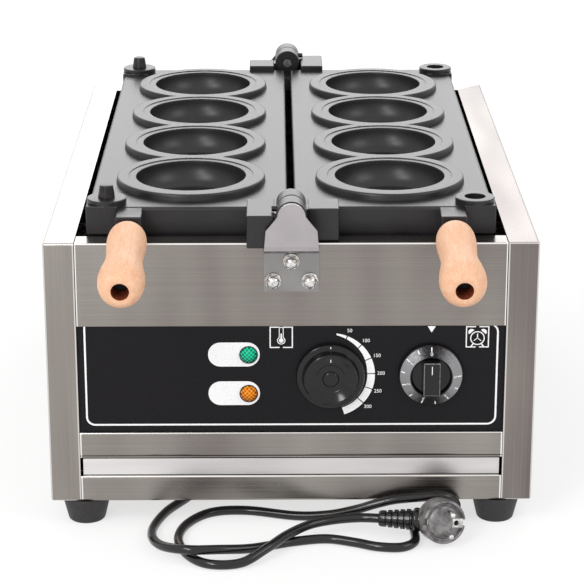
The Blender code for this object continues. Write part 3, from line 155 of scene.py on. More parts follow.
def tint(material, shader, pattern, dark, light, low=0.3, high=0.7):
    """Colours a surface from dark to light where a pattern goes from low to high."""
    spread = add_node(material, "ShaderNodeMapRange", {
        "Value": pattern, "From Min": low, "From Max": high})
    mixed = add_node(material, "ShaderNodeMix", {
        0: spread.outputs[0], 6: linear(dark), 7: linear(light)}, data_type="RGBA")
    material.node_tree.links.new(mixed.outputs[2], shader.inputs["Base Color"])
    return mixed.outputs[2]


def raise_surface(material, shader, pattern, height):
    """Gives a surface the relief of a pattern, this many millimetres high."""
    relief = add_node(material, "ShaderNodeBump", {"Height": pattern, "Distance": height * MM})
    material.node_tree.links.new(relief.outputs[0], shader.inputs["Normal"])


def dressed(material, *nodes):
    """Gives CAD nodes this finish."""
    for node in nodes:
        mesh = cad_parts[node].data
        mesh.materials.clear()
        mesh.materials.append(material)


# Half the width of a lit edge, and how far from the front face it may lie, in millimetres.
EDGE_LINE, FRONT_DEPTH = 0.6, 1.5


def brushed_stainless(name, dark, light, grain_scale, band_scale, roughness, lines=(),
                      lit_edge="#efedea"):
    """Ground stainless sheet, a warm grey with broad soft bands. The real grain of 0.1 mm is
    drawn at 1 to 2 mm, so that it shows. Lines are an axis and a place in millimetres each,
    where an edge in front catches the light."""
    material, shader = new_material(name, light, roughness, Metallic=1.0)
    where = add_node(material, "ShaderNodeTexCoord")
    places = add_node(material, "ShaderNodeSeparateXYZ", {0: where.outputs["Object"]})
    stretched = add_node(material, "ShaderNodeMapping", {
        "Vector": where.outputs["Object"], "Scale": grain_scale})
    grain = add_node(material, "ShaderNodeTexNoise", {
        "Vector": stretched.outputs[0], "Scale": 1, "Detail": 3, "Roughness": 0.65})
    wide = add_node(material, "ShaderNodeMapping", {
        "Vector": where.outputs["Object"], "Scale": band_scale})
    bands = add_node(material, "ShaderNodeTexNoise", {
        "Vector": wide.outputs[0], "Scale": 1, "Detail": 2})
    both = add_node(material, "ShaderNodeMath", {
        0: grain.outputs[0], 1: 0.2, 2: bands.outputs[0]}, operation="MULTIPLY_ADD")
    # It is paler on the left, as on the photo, by a painted reflection.
    painted_reflection_left = add_node(material, "ShaderNodeMath", {
        0: places.outputs["X"], 1: -0.9, 2: both.outputs[0]}, operation="MULTIPLY_ADD")
    colour = tint(material, shader, painted_reflection_left.outputs[0], dark, light, 0.37, 0.83)
    rough = add_node(material, "ShaderNodeMapRange", {
        "Value": grain.outputs[0], "From Min": 0.3, "From Max": 0.7,
        "To Min": roughness - 0.04, "To Max": roughness + 0.05})
    material.node_tree.links.new(rough.outputs[0], shader.inputs["Roughness"])
    raise_surface(material, shader, grain.outputs[0], 0.003)
    if lines:
        lit = 0
        for line_axis, spot in lines:
            side = add_node(material, "ShaderNodeMath", {
                0: places.outputs[line_axis]}, operation="ABSOLUTE")
            near = add_node(material, "ShaderNodeMath", {
                0: side.outputs[0], 1: spot * MM, 2: EDGE_LINE * MM}, operation="COMPARE")
            lit = add_node(material, "ShaderNodeMath", {
                0: near.outputs[0], 1: lit}, operation="MAXIMUM").outputs[0]
        ahead = add_node(material, "ShaderNodeMath", {
            0: places.outputs["Y"], 1: front_y, 2: FRONT_DEPTH * MM}, operation="COMPARE")
        lit = add_node(material, "ShaderNodeMath", {
            0: lit, 1: ahead.outputs[0]}, operation="MULTIPLY").outputs[0]
        edged = add_node(material, "ShaderNodeMix", {
            0: lit, 6: colour, 7: linear(lit_edge)}, data_type="RGBA")
        material.node_tree.links.new(edged.outputs[2], shader.inputs["Base Color"])
    return material


def block(low, high, edge=0.0, segments=2):
    """A box from its low to its high corner in millimetres, with rounded edges."""
    low, high = Vector(low) * MM, Vector(high) * MM
    shape = bmesh.new()
    bmesh.ops.create_cube(shape, size=1)
    bmesh.ops.scale(shape, vec=high - low, verts=shape.verts)
    bmesh.ops.translate(shape, vec=(low + high) / 2, verts=shape.verts)
    if edge:
        bmesh.ops.bevel(shape, geom=shape.edges[:], offset=edge * MM, affect="EDGES",
                        segments=segments, profile=0.5, material=-1)
    return shape


def placed(shape, at=(0, 0, 0), turn=(0, 0, 0), under=Matrix()):
    """Turns a shape by degrees, shifts it by millimetres and puts it under a holder's place."""
    turned = Euler([math.radians(angle) for angle in turn]).to_matrix().to_4x4()
    bmesh.ops.transform(shape, matrix=under @ Matrix.Translation(Vector(at) * MM) @ turned,
                        verts=shape.verts)
    return shape


def worked(shape, tool, operation="DIFFERENCE"):
    """Cuts, joins or keeps the shared part of two closed shapes."""
    holders = []
    for part in (shape, tool):
        mesh = bpy.data.meshes.new("part")
        part.to_mesh(mesh)
        part.free()
        holders.append(bpy.data.objects.new("part", mesh))
        scene.collection.objects.link(holders[-1])
    change = holders[0].modifiers.new("change", "BOOLEAN")
    change.object, change.operation, change.solver = holders[1], operation, "EXACT"
    result = bmesh.new()
    result.from_object(holders[0], bpy.context.evaluated_depsgraph_get())
    for holder in holders:
        mesh = holder.data
        bpy.data.objects.remove(holder)
        bpy.data.meshes.remove(mesh)
    return result


def finished(name, shape, material, body, replaces=(), smooth=38):
    """Makes a shape a piece of the machine. Edges sharper than smooth degrees stay crisp."""
    mesh = bpy.data.meshes.new(name)
    shape.to_mesh(mesh)
    shape.free()
    for each in material if isinstance(material, (list, tuple)) else [material]:
        mesh.materials.append(each)
    mesh.shade_smooth()
    mesh.set_sharp_from_angle(angle=math.radians(smooth))
    piece = bpy.data.objects.new(name, mesh)
    scene.collection.objects.link(piece)
    piece.modifiers.new("even_shading", "WEIGHTED_NORMAL").keep_sharp = True
    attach(piece, body)
    if replaces:
        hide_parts(*replaces)
    return piece


grain_across = brushed_stainless(
    "ground_stainless_across", "#6c6361", "#a5a09a", (3, 700, 900), (9, 1, 2.2), 0.27,
    (("X", 186.9), ("Z", 265.3), ("Z", 89.6), ("Z", 47.9)))
grain_upright = brushed_stainless(
    "ground_stainless_upright", "#665d5b", "#9d9791", (800, 800, 4), (14, 3, 2.6), 0.27,
    (("X", 188.7), ("X", 214.3), ("Z", 265.3), ("Z", 24.7)), "#cfccc9")
grain_along = brushed_stainless(
    "ground_stainless_along", "#7d7572", "#a29d98", (800, 3, 800), (3, 3, 3), 0.3)
dressed(grain_across, "rear_panel", "upper_front_rail", "lower_front_rail",
        "front_heater_rail", "rear_heater_rail")
dressed(grain_upright, "left_side_panel", "right_side_panel")
dressed(grain_along, "base_plate", "heat_shield", "left_tray_runner", "right_tray_runner")

at_front = Matrix.Translation((0, front_y, 0))
shape = worked(block((-187.7, 0, 189.7), (187.7, 22, 266), 0.9, 3),
               block((-190, 1.2, 186), (190, 25, 264.8)))
shape = worked(shape, block((-190, 0.75, 186), (190, 25, 192.6)))
finished("folded_front_panel", placed(shape, under=at_front), grain_across, "body",
         ["front_panel"])
finished("rail_hem", placed(block((-187.7, 0, 66.1), (187.7, 0.7, 67.5), 0.25), under=at_front),
         grain_across, "body")


# Drip tray: a shallow drawer of bright-rolled stainless, left plain and therefore paler than the
# ground body round it. A wider fascia on its front closes most of the opening.

bright_sheet = brushed_stainless(
    "bright_rolled_stainless", "#c6c3c2", "#e4e1e0", (3, 500, 500), (5, 2, 40), 0.3)
dressed(bright_sheet, "drip_tray")
fascia = block((-185.6, 1.7, 49.1), (185.6, 2.9, 64.6), 0.35)
finished("tray_fascia", placed(fascia, under=at_front), bright_sheet, "tray")


# Heating and controls inside: two bent tubular heaters under the moulds, in dull oxidised steel,
# and the moulded bodies and turned shafts behind the knobs.

def speckled(name, colour, roughness, scale, detail, dark, light, low=0.3, high=0.7, relief=0.0,
             **values):
    """A speckled material: scale counts its patches per metre, relief is in millimetres."""
    material, shader = new_material(name, colour, roughness, **values)
    where = add_node(material, "ShaderNodeTexCoord")
    speckle = add_node(material, "ShaderNodeTexNoise", {
        "Vector": where.outputs["Object"], "Scale": scale, "Detail": detail})
    tint(material, shader, speckle.outputs[0], dark, light, low, high)
    if relief:
        raise_surface(material, shader, speckle.outputs[0], relief)
    return material


# Oxidised steel tube: dark, with a brown and blue bloom in patches of about 15 mm.
oxidised = speckled("oxidised_steel", "#4a4644", 0.5, 65, 4, "#3a3634", "#5c5653", relief=0.04,
                    Metallic=1.0)
dressed(oxidised, "left_heater", "right_heater")

# Moulded phenolic and ceramic-filled plastic inside the body: cream, dull, mottled in 8 mm patches.
cream = speckled("moulded_cream_phenolic", "#d9d2bd", 0.55, 120, 3, "#cfc7b0", "#e0dac8")
dressed(cream, "timer_body", "thermostat_body", "terminal_block")

# Turned steel: pins, shafts and washers, plain and bright, faintly clouded in patches of 2.5 mm.
turned_steel = speckled("turned_steel", "#b3b0ad", 0.26, 400, 3, "#a3a09d", "#c4c1be",
                        Metallic=1.0)
dressed(turned_steel, "timer_shaft", "thermostat_shaft", "front_pivot_pin", "rear_pivot_pin",
        "front_hinge_washer", "rear_hinge_washer", "left_handle_rod", "right_handle_rod")


# Feet: four moulded black rubber cones, each held by a screw from inside.

def spun(outline, steps=48, ring=False):
    """A solid turned round Z from (radius, height) in millimetres. A ring closes on itself."""
    shape = bmesh.new()
    verts = [shape.verts.new((radius * MM, 0, height * MM)) for radius, height in outline]
    pairs = list(zip(verts, verts[1:])) + ([(verts[-1], verts[0])] if ring else [])
    edges = [shape.edges.new(pair) for pair in pairs]
    bmesh.ops.spin(shape, geom=verts + edges, cent=(0, 0, 0), axis=(0, 0, 1), angle=math.tau,
                   steps=steps, use_merge=True)
    bmesh.ops.remove_doubles(shape, verts=shape.verts, dist=0.004 * MM)
    bmesh.ops.recalc_face_normals(shape, faces=shape.faces)
    return shape


# Moulded rubber: black and dull, with a dusty bloom in patches of 3 mm.
rubber = speckled("moulded_black_rubber", "#242222", 0.55, 300, 4, "#1f1d1d", "#2f2c2d",
                  relief=0.06)

for node in ("front_left_foot", "front_right_foot", "rear_left_foot", "rear_right_foot"):
    low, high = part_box(node)
    top = (high.z - low.z) / MM
    outline = [(0, 0), (14.4, 0), (15.7, 0.4), (16.5, 1.2), (16.9, 2.4), (21.6, top - 1.6),
               (21.6, top - 0.6), (21.0, top), (0, top)]
    middle = (low + high) / 2
    spot = Matrix.Translation((middle.x, middle.y, low.z))
    finished(node + "_rubber", placed(spun(outline, 48), under=spot), rubber, "body",
             [node])


# Control overlay: a thin black printed plastic sheet glued to the control panel. The print is
# white: a frame line, two plain pictograms, lamp fields, a pointer and a heat scale with numbers.

def gathered(shapes):
    """Puts several shapes side by side in one."""
    whole = bmesh.new()
    for shape in shapes:
        mesh = bpy.data.meshes.new("part")
        shape.to_mesh(mesh)
        shape.free()
        whole.from_mesh(mesh)
        bpy.data.meshes.remove(mesh)
    return whole


# Screen-printed polycarbonate: black, satin, with a fine texture of 1.4 mm. The strip of sheet
# round it takes the same black as painted shade, for the shade it lies in under the overlay.
black_film_and_strip_shade = speckled("printed_black_polycarbonate", "#151316", 0.35, 700, 2, "#121013",
                        "#1b191c", relief=0.02, **{"Specular IOR Level": 0.14})
dressed(black_film_and_strip_shade, "control_overlay", "control_panel")

# White ink: flat and opaque, with slightly uneven cover in patches of 2 mm.
white_ink = speckled("white_screen_ink", "#fbfafb", 0.5, 500, 2, "#f4f3f4", "#ffffff")

INK = 0.1
FACING_FRONT = Matrix.Rotation(math.pi / 2, 4, "X")
overlay_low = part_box("control_overlay")[0]
on_overlay = Matrix.Translation((0, overlay_low.y - 0.4 * INK * MM, 0)) @ FACING_FRONT
timer_x, timer_z = 122.76, 144.98
dial_x, dial_z = 34.41, 143.96
lamp_x, green_z, amber_z = -37.48, 163.17, 126.79


def flattened(curve):
    """A flat curve or text as a thin closed solid in its own XY plane."""
    curve.extrude = INK / 2 * MM
    holder = bpy.data.objects.new("flat", curve)
    mesh = bpy.data.meshes.new_from_object(holder)
    shape = bmesh.new()
    shape.from_mesh(mesh)
    bpy.data.objects.remove(holder)
    bpy.data.curves.remove(curve)
    bpy.data.meshes.remove(mesh)
    bmesh.ops.remove_doubles(shape, verts=shape.verts, dist=0.002 * MM)
    return shape


def stencil(*outlines):
    """A thin flat solid from closed outlines in millimetres. One inside another is a hole in it."""
    curve = bpy.data.curves.new("stencil", "CURVE")
    curve.dimensions, curve.fill_mode = "2D", "BOTH"
    for outline in outlines:
        spline = curve.splines.new("POLY")
        spline.points.add(len(outline) - 1)
        for point, (x, y) in zip(spline.points, outline):
            point.co = (x * MM, y * MM, 0, 1)
        spline.use_cyclic_u = True
    return flattened(curve)


def numeral(text, size):
    """A number as a thin flat solid, this many millimetres high."""
    curve = bpy.data.curves.new("numeral", "FONT")
    curve.body, curve.size, curve.align_x, curve.align_y = text, size * MM, "CENTER", "CENTER"
    return flattened(curve)


def arc(x, y, radius, start, end, steps=24):
    """Points on an arc in millimetres, from one angle to another in degrees."""
    angles = [math.radians(start + (end - start) * i / steps) for i in range(steps + 1)]
    return [(x + radius * math.cos(a), y + radius * math.sin(a)) for a in angles]


def rounded(low_x, low_y, high_x, high_y, radius, top_left=None):
    """Outline of a rectangle with round corners. The top left one can have its own radius."""
    other = radius if top_left is None else top_left
    return (arc(high_x - radius, high_y - radius, radius, 0, 90, 6)
            + arc(low_x + other, high_y - other, other, 90, 180, 6)
            + arc(low_x + radius, low_y + radius, radius, 180, 270, 6)
            + arc(high_x - radius, low_y + radius, radius, 270, 360, 6))


print_parts = [
    stencil(rounded(-181.6, 96.6, 181.6, 191.8, 8, 1.5),
            rounded(-180.0, 98.2, 180.0, 190.4, 6.6, 0.5)),
    stencil([(119.2, 189.4), (122.76, 183.6), (126.4, 189.4)]),
]
# Each pictogram stands in a square frame that is open in the middle of its top and bottom.
THERMOMETER_X, CLOCK_X = -8.8, 163.0
half_frame = ((1.5, 10.2), (10.2, 10.2), (10.2, -10.2), (1.5, -10.2), (1.5, -9.2), (9.2, -9.2),
              (9.2, 9.2), (1.5, 9.2))
for x in (THERMOMETER_X, CLOCK_X):
    for side in (-1, 1):
        print_parts.append(stencil([(x + side * px, 180.0 - 0.6 + py * 0.97)
                                    for px, py in half_frame]))
# Thermometer: a bulb below a tube, both drawn as outlines, with a filled column.
x, y = THERMOMETER_X, 176.4
tube_out = arc(x, y, 3.6, 125, 415, 20) + arc(x, y + 10.6, 2.07, 0, 180, 10)
tube_in = arc(x, y, 2.9, 119, 421, 20) + arc(x, y + 10.6, 1.4, 0, 180, 10)
print_parts.append(stencil(tube_out, tube_in))
print_parts.append(stencil(arc(x, y, 2.0, 110, 430, 16) + [(x + 0.6, y + 6.5), (x - 0.6, y + 6.5)]))
# Alarm clock: a ring with hands, two bells and two feet.
x, y = CLOCK_X, 178.2
print_parts.append(stencil(arc(x, y, 6.4, 0, 350, 28), arc(x, y, 5.5, 0, 350, 28)))
clock_foot = ((3.2, -5.6), (4.2, -5.0), (6.0, -7.6), (4.9, -7.9))
clock_hand = ((0.1, -0.4), (0.1, 0.5), (3.4, -2.2), (3.0, -2.7))
for side in (-1, 1):
    tilt = math.radians(-side * 40)
    print_parts.append(stencil([(x + side * 5.2 + px * math.cos(tilt) - py * math.sin(tilt),
                                 y + 5.6 + px * math.sin(tilt) + py * math.cos(tilt))
                                for px, py in arc(0, 0, 2.9, 0, 180, 10)]))
    for outline in (clock_foot, clock_hand):
        print_parts.append(stencil([(x + side * px, y + py) for px, py in outline]))
print_parts.append(stencil([(x - 0.45, y - 0.3), (x + 0.45, y - 0.3), (x + 0.45, y + 4.2),
                            (x - 0.45, y + 4.2)]))
# Lamp fields.
for z in (green_z, amber_z):
    print_parts.append(stencil(rounded(-73, z - 10.9, -27.7, z + 11.5, 10.8)))
# Heat scale: seven fields that grow wider, with a number at each split.
SPLITS = (7, 22, 44, 66, 88, 110, 132, 162)
SCALE_RADIUS, NUMBER_RADIUS = 39.2, 44.6


def on_dial(radius, angle):
    """A point this far from the thermostat's middle, at an angle clockwise from the top."""
    turn = math.radians(angle)
    return dial_x + radius * math.sin(turn), dial_z + radius * math.cos(turn)


def scale_width(angle):
    """Width of the heat scale at an angle clockwise from the top."""
    return 1.3 + 5.4 * min(1, max(0, (angle - 7) / 75)) ** 0.8


for start, end in zip(SPLITS, SPLITS[1:]):
    angles = [start + 0.7 + (end - start - 1.4) * i / 8 for i in range(9)]
    outer = [on_dial(SCALE_RADIUS, angle) for angle in angles]
    inner = [on_dial(SCALE_RADIUS - scale_width(angle), angle) for angle in angles]
    print_parts.append(stencil(outer + inner[::-1]))
for angle, text in zip(SPLITS[1:7], ("50", "100", "150", "200", "250", "300")):
    print_parts.append(placed(numeral(text, 4.6), at=(*on_dial(NUMBER_RADIUS, angle), 0)))
finished("overlay_print", placed(gathered(print_parts), under=on_overlay), white_ink, "body")


# Pilot lamps: two domed lenses of clear coloured plastic, cross-cut inside so that they glitter,
# each pressed into the panel through a thin black ring.

at_overlay = Matrix.Translation((0, overlay_low.y, 0))
PRISM = 3.6
lens_outline = [(0, 5.3), (2.2, 5.1), (4.2, 4.4), (5.8, 3.2), (6.9, 1.9), (7.4, 1.0), (7.5, 0.6),
                (7.5, 0.3), (6, 0.3), (6, -26), (0, -26)]
for name, node, colour, painted_shade_tint, painted_glow_tint, z in (
    ("green_lens", "green_lamp", "#0fa27a", "#03483a", "#1cd3a0", green_z),
    ("amber_lens", "amber_lamp", "#e88a1a", "#7c3203", "#ff9a20", amber_z),
):
    # Clear tinted polycarbonate: glossy, with a grid of prisms, and painted light: a painted glow
    # where it faces the viewer, painted glints on the prisms and painted shade at its edge. The
    # real grid of about 1 mm is drawn at 3.6 mm, so that it shows.
    lens, shader = new_material("tinted_polycarbonate_" + name, colour, 0.2,
                                **{"Specular IOR Level": 0.2})
    where = add_node(lens, "ShaderNodeTexCoord")
    parts = add_node(lens, "ShaderNodeSeparateXYZ", {0: where.outputs["Object"]})
    waves = []
    for line_axis in ("X", "Z"):
        phase = add_node(lens, "ShaderNodeMath", {
            0: parts.outputs[line_axis], 1: math.tau / PRISM / MM}, operation="MULTIPLY")
        waves.append(add_node(lens, "ShaderNodeMath", {0: phase.outputs[0]}, operation="SINE"))
    prisms = add_node(lens, "ShaderNodeMath", {
        0: waves[0].outputs[0], 1: waves[1].outputs[0]}, operation="MULTIPLY")
    slanted = add_node(lens, "ShaderNodeLayerWeight", {"Blend": 0.3})
    # Painted light: lighter where the lens faces the viewer and on the prisms, darker at its edge.
    painted_lens_light = add_node(lens, "ShaderNodeMath", {
        0: slanted.outputs["Facing"], 1: -2.2, 2: prisms.outputs[0]}, operation="MULTIPLY_ADD")
    tint(lens, shader, painted_lens_light.outputs[0], painted_shade_tint, painted_glow_tint, -1.1, 0.35)
    raise_surface(lens, shader, prisms.outputs[0], 0.12)
    shape = placed(spun(lens_outline, 48), at=(lamp_x, 0, z), turn=(90, 0, 0), under=at_overlay)
    finished(name, shape, lens, "body", [node])

# Injection-moulded nylon: black, satin, with a grain of 1 mm.
nylon = speckled("moulded_black_nylon", "#232225", 0.4, 900, 2, "#1e1d20", "#2a292c", relief=0.03)

bezel = [(7.6, 0.15), (8.2, 0.15), (8.2, 0.6), (7.9, 1.0), (7.6, 0.9)]
bezels = [placed(spun(bezel, 48, ring=True), at=(lamp_x, 0, z), turn=(90, 0, 0), under=at_overlay)
          for z in (green_z, amber_z)]
finished("lamp_bezels", gathered(bezels), nylon, "body")


# Timer knob: black moulded plastic with a sloping skirt, a sunk well and a straight finger bar. The
# minutes are printed on the skirt.

KNOB_GAP = 1.0
KNOB_SMOOTH = 32

# Moulded ABS: near black, glossy, with a faint grain of 1.5 mm.
knob_abs = speckled("moulded_black_abs", "#131214", 0.16, 650, 2, "#0f0e10", "#191819", relief=0.01,
                    **{"Specular IOR Level": 0.36})

# The same plastic with a painted highlight along the bar's edges, pale in patches of 3 mm.
abs_edge_painted_highlight = speckled("abs_bar_edge_painted_highlight", "#6d6c6e", 0.3, 330, 2, "#4c4b4d", "#8a898b")

# Anodised ring of the skirt: dark grey and finely turned. The bright fans that such turning shows
# on its left and right are painted highlights, which come from how far the surface leans sideways.
dark_ring, shader = new_material("anodised_dark_ring", "#59585b", 0.36, Metallic=0.8)
lean = add_node(dark_ring, "ShaderNodeNewGeometry")
parts = add_node(dark_ring, "ShaderNodeSeparateXYZ", {0: lean.outputs["Normal"]})
painted_fan_highlights = add_node(dark_ring, "ShaderNodeMath", {
    0: parts.outputs["X"], 1: parts.outputs["X"]}, operation="MULTIPLY")
where = add_node(dark_ring, "ShaderNodeTexCoord")
fine = add_node(dark_ring, "ShaderNodeTexNoise", {
    "Vector": where.outputs["Object"], "Scale": 500, "Detail": 2})
both = add_node(dark_ring, "ShaderNodeMath", {
    0: fine.outputs[0], 1: 0.12, 2: painted_fan_highlights.outputs[0]}, operation="MULTIPLY_ADD")
tint(dark_ring, shader, both.outputs[0], "#29282b", "#8f8e90", 0.07, 0.23)

SKIRT_TOP, SKIRT_INNER, SKIRT_FALL = 8.9, 18.8, 0.553


def skirt_height(radius):
    """Height of the timer's sloping skirt at a radius."""
    return SKIRT_TOP - (radius - SKIRT_INNER) * SKIRT_FALL


timer_place = Matrix.Translation(
    (timer_x * MM, overlay_low.y - KNOB_GAP * MM, timer_z * MM)) @ FACING_FRONT
skirt = [(0, 4.0), (16.2, 4.0), (16.9, 4.4), (17.4, 8.2), (18.0, 8.8), (SKIRT_INNER, SKIRT_TOP),
         (27.3, 4.2), (28.1, 3.5), (28.5, 2.6), (28.5, 0.4), (28.1, 0), (0, 0)]
shape = worked(spun(skirt, 72), block((-7.3, -14.5, 2), (7.3, 16.0, 17), 0.8, 3), "UNION")
for face in shape.faces:
    middle = face.calc_center_median() / MM
    face.material_index = int(math.hypot(middle.x, middle.y) > 18.2 and middle.z > 4)
    # Faces at the top of the bar's edges take the painted highlight.
    at_side = 6.5 < abs(middle.x) < 7.29
    at_end = 13.7 < abs(middle.y - 0.75) - 0.75 < 14.49
    if middle.z > 16.1 and (at_side or at_end):
        face.material_index = 2
finished("timer_knob_moulding", placed(shape, under=timer_place), (knob_abs, dark_ring, abs_edge_painted_highlight),
         "timer_dial", ["timer_knob"], smooth=KNOB_SMOOTH)
marks = []
slope = math.degrees(math.atan2(SKIRT_TOP - 4.2, 27.3 - SKIRT_INNER))
for step in range(11):
    turn = Matrix.Rotation(math.radians(27 * step), 4, "Z")
    tick = block((-0.5, -1.9, 0), (0.5, 1.9, 0.12))
    marks.append(placed(tick, at=(0, 25.0, skirt_height(25.0) - 0.01), turn=(-slope, 0, 0),
                        under=turn))
    if step % 2 == 0:
        digit = numeral(str(step // 2), 4.8)
        marks.append(placed(digit, at=(0, 21.2, skirt_height(21.2) + 0.03), turn=(-slope, 0, 0),
                            under=turn))
marks.append(block((-0.35, 5.5, 16.95), (0.35, 13.2, 17.08)))
finished("timer_marks", placed(gathered(marks), under=timer_place), white_ink, "timer_dial")


# Thermostat knob: black moulded plastic with a flat skirt and a round grip, dished in front in
# rings round a small boss.

dial_place = Matrix.Translation(
    (dial_x * MM, overlay_low.y - KNOB_GAP * MM, dial_z * MM)) @ FACING_FRONT
boss = [(0, 11.7), (5.4, 11.5), (6.6, 10.7), (7.4, 9.4)]
dish = [(12.6, 8.9), (13.2, 9.3), (14.0, 9.3), (14.8, 9.1), (19.6, 11.1), (21.2, 12.2)]
grip = [(22.4, 12.5), (23.3, 12.0), (23.8, 10.9), (24.2, 7.6), (24.5, 6.2), (25.2, 5.3)]
skirt = [(28.4, 4.9), (29.4, 4.4), (30, 3.4), (30, 0.4), (29.6, 0), (0, 0)]
finished("thermostat_knob_moulding", placed(spun(boss + dish + grip + skirt, 96), under=dial_place),
         knob_abs, "thermostat_dial", ["thermostat_knob"], smooth=KNOB_SMOOTH)
marks = [placed(block((-0.4, -1.7, 0), (0.4, 1.7, 0.12)), at=(0, 17.2, 10.08), turn=(22.5, 0, 0)),
         block((-0.4, 25.8, 4.98), (0.4, 28.4, 5.12))]
finished("thermostat_marks", placed(gathered(marks), under=dial_place), white_ink,
         "thermostat_dial")


# Hinge brackets: two plates of 3 mm steel, folded and rounded at the head, that carry the pivot
# pins. Each is held by three domed nuts on washers.

# Zinc-plated steel: pale satin grey with a violet cloud of 20 mm, and painted shade that makes it a
# little darker below its fold.
zinc_plate, shader = new_material("zinc_plated_plate", "#a8a4a4", 0.36, Metallic=1.0)
where = add_node(zinc_plate, "ShaderNodeTexCoord")
parts = add_node(zinc_plate, "ShaderNodeSeparateXYZ", {0: where.outputs["Object"]})
cloud = add_node(zinc_plate, "ShaderNodeTexNoise", {
    "Vector": where.outputs["Object"], "Scale": 45, "Detail": 2})
painted_fold_shade = add_node(zinc_plate, "ShaderNodeMapRange", {
    "Value": parts.outputs["Z"], "From Min": 0.256, "From Max": 0.263,
    "To Min": 0.2, "To Max": 0.75})
both = add_node(zinc_plate, "ShaderNodeMath", {
    0: cloud.outputs[0], 1: 0.5, 2: painted_fold_shade.outputs[0]}, operation="MULTIPLY_ADD")
tint(zinc_plate, shader, both.outputs[0], "#8a8887", "#b3adb0", 0.4, 1.1)
dressed(zinc_plate, "front_hinge_bracket", "rear_hinge_bracket")

# Nickel-plated steel: bright, slightly yellow, with a faint haze in patches of 4 mm.
nickel = speckled("nickel_plated_steel", "#dddcd9", 0.16, 260, 3, "#b4b3b1", "#e6e5e3", 0.4, 0.6,
                  Metallic=1.0)

washer = [(0, 0), (7.0, 0), (7.3, 0.3), (7.3, 0.8), (7.0, 1.1), (0, 1.1)]
hexagon = [(0, 1.0), (6.2, 1.0), (6.8, 1.4), (6.8, 4.4), (6.1, 5.0), (0, 5.0)]
cap = [(0, 8.0), (2.0, 7.8), (3.6, 7.1), (4.8, 6.1), (5.4, 5.0), (5.5, 4.6), (0, 4.6)]
for end, turn in (("front", 0), ("rear", 180)):
    for which in ("upper", "left", "right"):
        low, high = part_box(f"{end}_{which}_nut")
        middle = (low + high) / 2
        face_y = high.y if end == "front" else low.y
        seat = (Matrix.Translation((middle.x, face_y, middle.z))
                @ Matrix.Rotation(math.radians(turn), 4, "Z") @ FACING_FRONT)
        shape = worked(spun(washer, 32), spun(hexagon, 6), "UNION")
        shape = worked(shape, spun(cap, 32), "UNION")
        finished(f"{end}_{which}_domed_nut", placed(shape, under=seat), nickel, "body",
                 [f"{end}_{which}_nut"])


# Moulds: two cast plates with four dished cups each, a raised rim round every cup, corner bosses,
# hinge arms and a handle lug. A dark baked coating covers everything and shines pale where it is
# seen at a slant.

# Baked non-stick coating on cast metal: near black, satin, on a fine cast skin of about 1 mm.
coated_casting, shader = new_material("coated_casting", "#1c1b1d", 0.34,
                                      **{"Specular IOR Level": 0.46})
where = add_node(coated_casting, "ShaderNodeTexCoord")
skin = add_node(coated_casting, "ShaderNodeTexNoise", {
    "Vector": where.outputs["Object"], "Scale": 900, "Detail": 3})
patches = add_node(coated_casting, "ShaderNodeTexNoise", {
    "Vector": where.outputs["Object"], "Scale": 28, "Detail": 3})
both = add_node(coated_casting, "ShaderNodeMath", {
    0: skin.outputs[0], 1: patches.outputs[0]}, operation="ADD")
tint(coated_casting, shader, both.outputs[0], "#171618", "#242224", 0.8, 1.2)
raise_surface(coated_casting, shader, skin.outputs[0], 0.05)

# The hinge line runs along the machine, 296 mm above the table. Each casting is drawn to the right
# of it, with its top at height 0, and then turned into its place.
axis = Vector((0, (front_y + rear_y) / 2, 0.296))
CUP_X, CUPS_Y = 90, (-180, -60, 60, 180)
BOSS_X, BOSS_Y = 161.3, 252.7
ARM_FOOT = -29.7
LUG_END = 294
KNUCKLE = 20
HANDLE_X, HANDLE_Z, HANDLE_TILT = 140.25, -20.5, 97

cup_curve = [(36 + 13.6 * math.cos(a), -1.6 - 22.2 * math.sin(a))
             for a in [math.radians(7 * i) for i in range(13)]]
cup_bowl = [(0, 2), (56.9, 2), (56.9, -0.12), (56.3, -0.4), (56.0, -0.9), (55.4, -1.0),
            (50.6, -1.0), (49.9, -1.2)] + cup_curve + [(30, -24), (0, -24)]
cup_shell = [(0, -9), (54, -9), (53.2, -15), (50, -21), (45, -26), (40, -28), (0, -28)]
cup_rim = [(0, -0.2), (64.9, -0.2), (65.9, -0.4), (66.6, -1.0), (67.0, -2.0), (67.8, -7.0),
           (67.8, -9), (0, -9)]
corner_boss = [(0, -19), (17.3, -19), (17.3, -1.0), (16.9, -0.5), (16.3, -0.2), (0, -0.2)]
pin_bore = [(0, 2), (7.3, 2), (7.3, -12), (0, -12)]
locating_bore = [(0, 2), (10.2, 2), (9.0, -0.9), (9.0, -15), (0, -15)]
knuckle_barrel = [(0, 10), (12.2, 10), (12.8, 9.7), (13, 9.1), (13, -9.1), (12.8, -9.7),
                  (12.2, -10), (0, -10)]


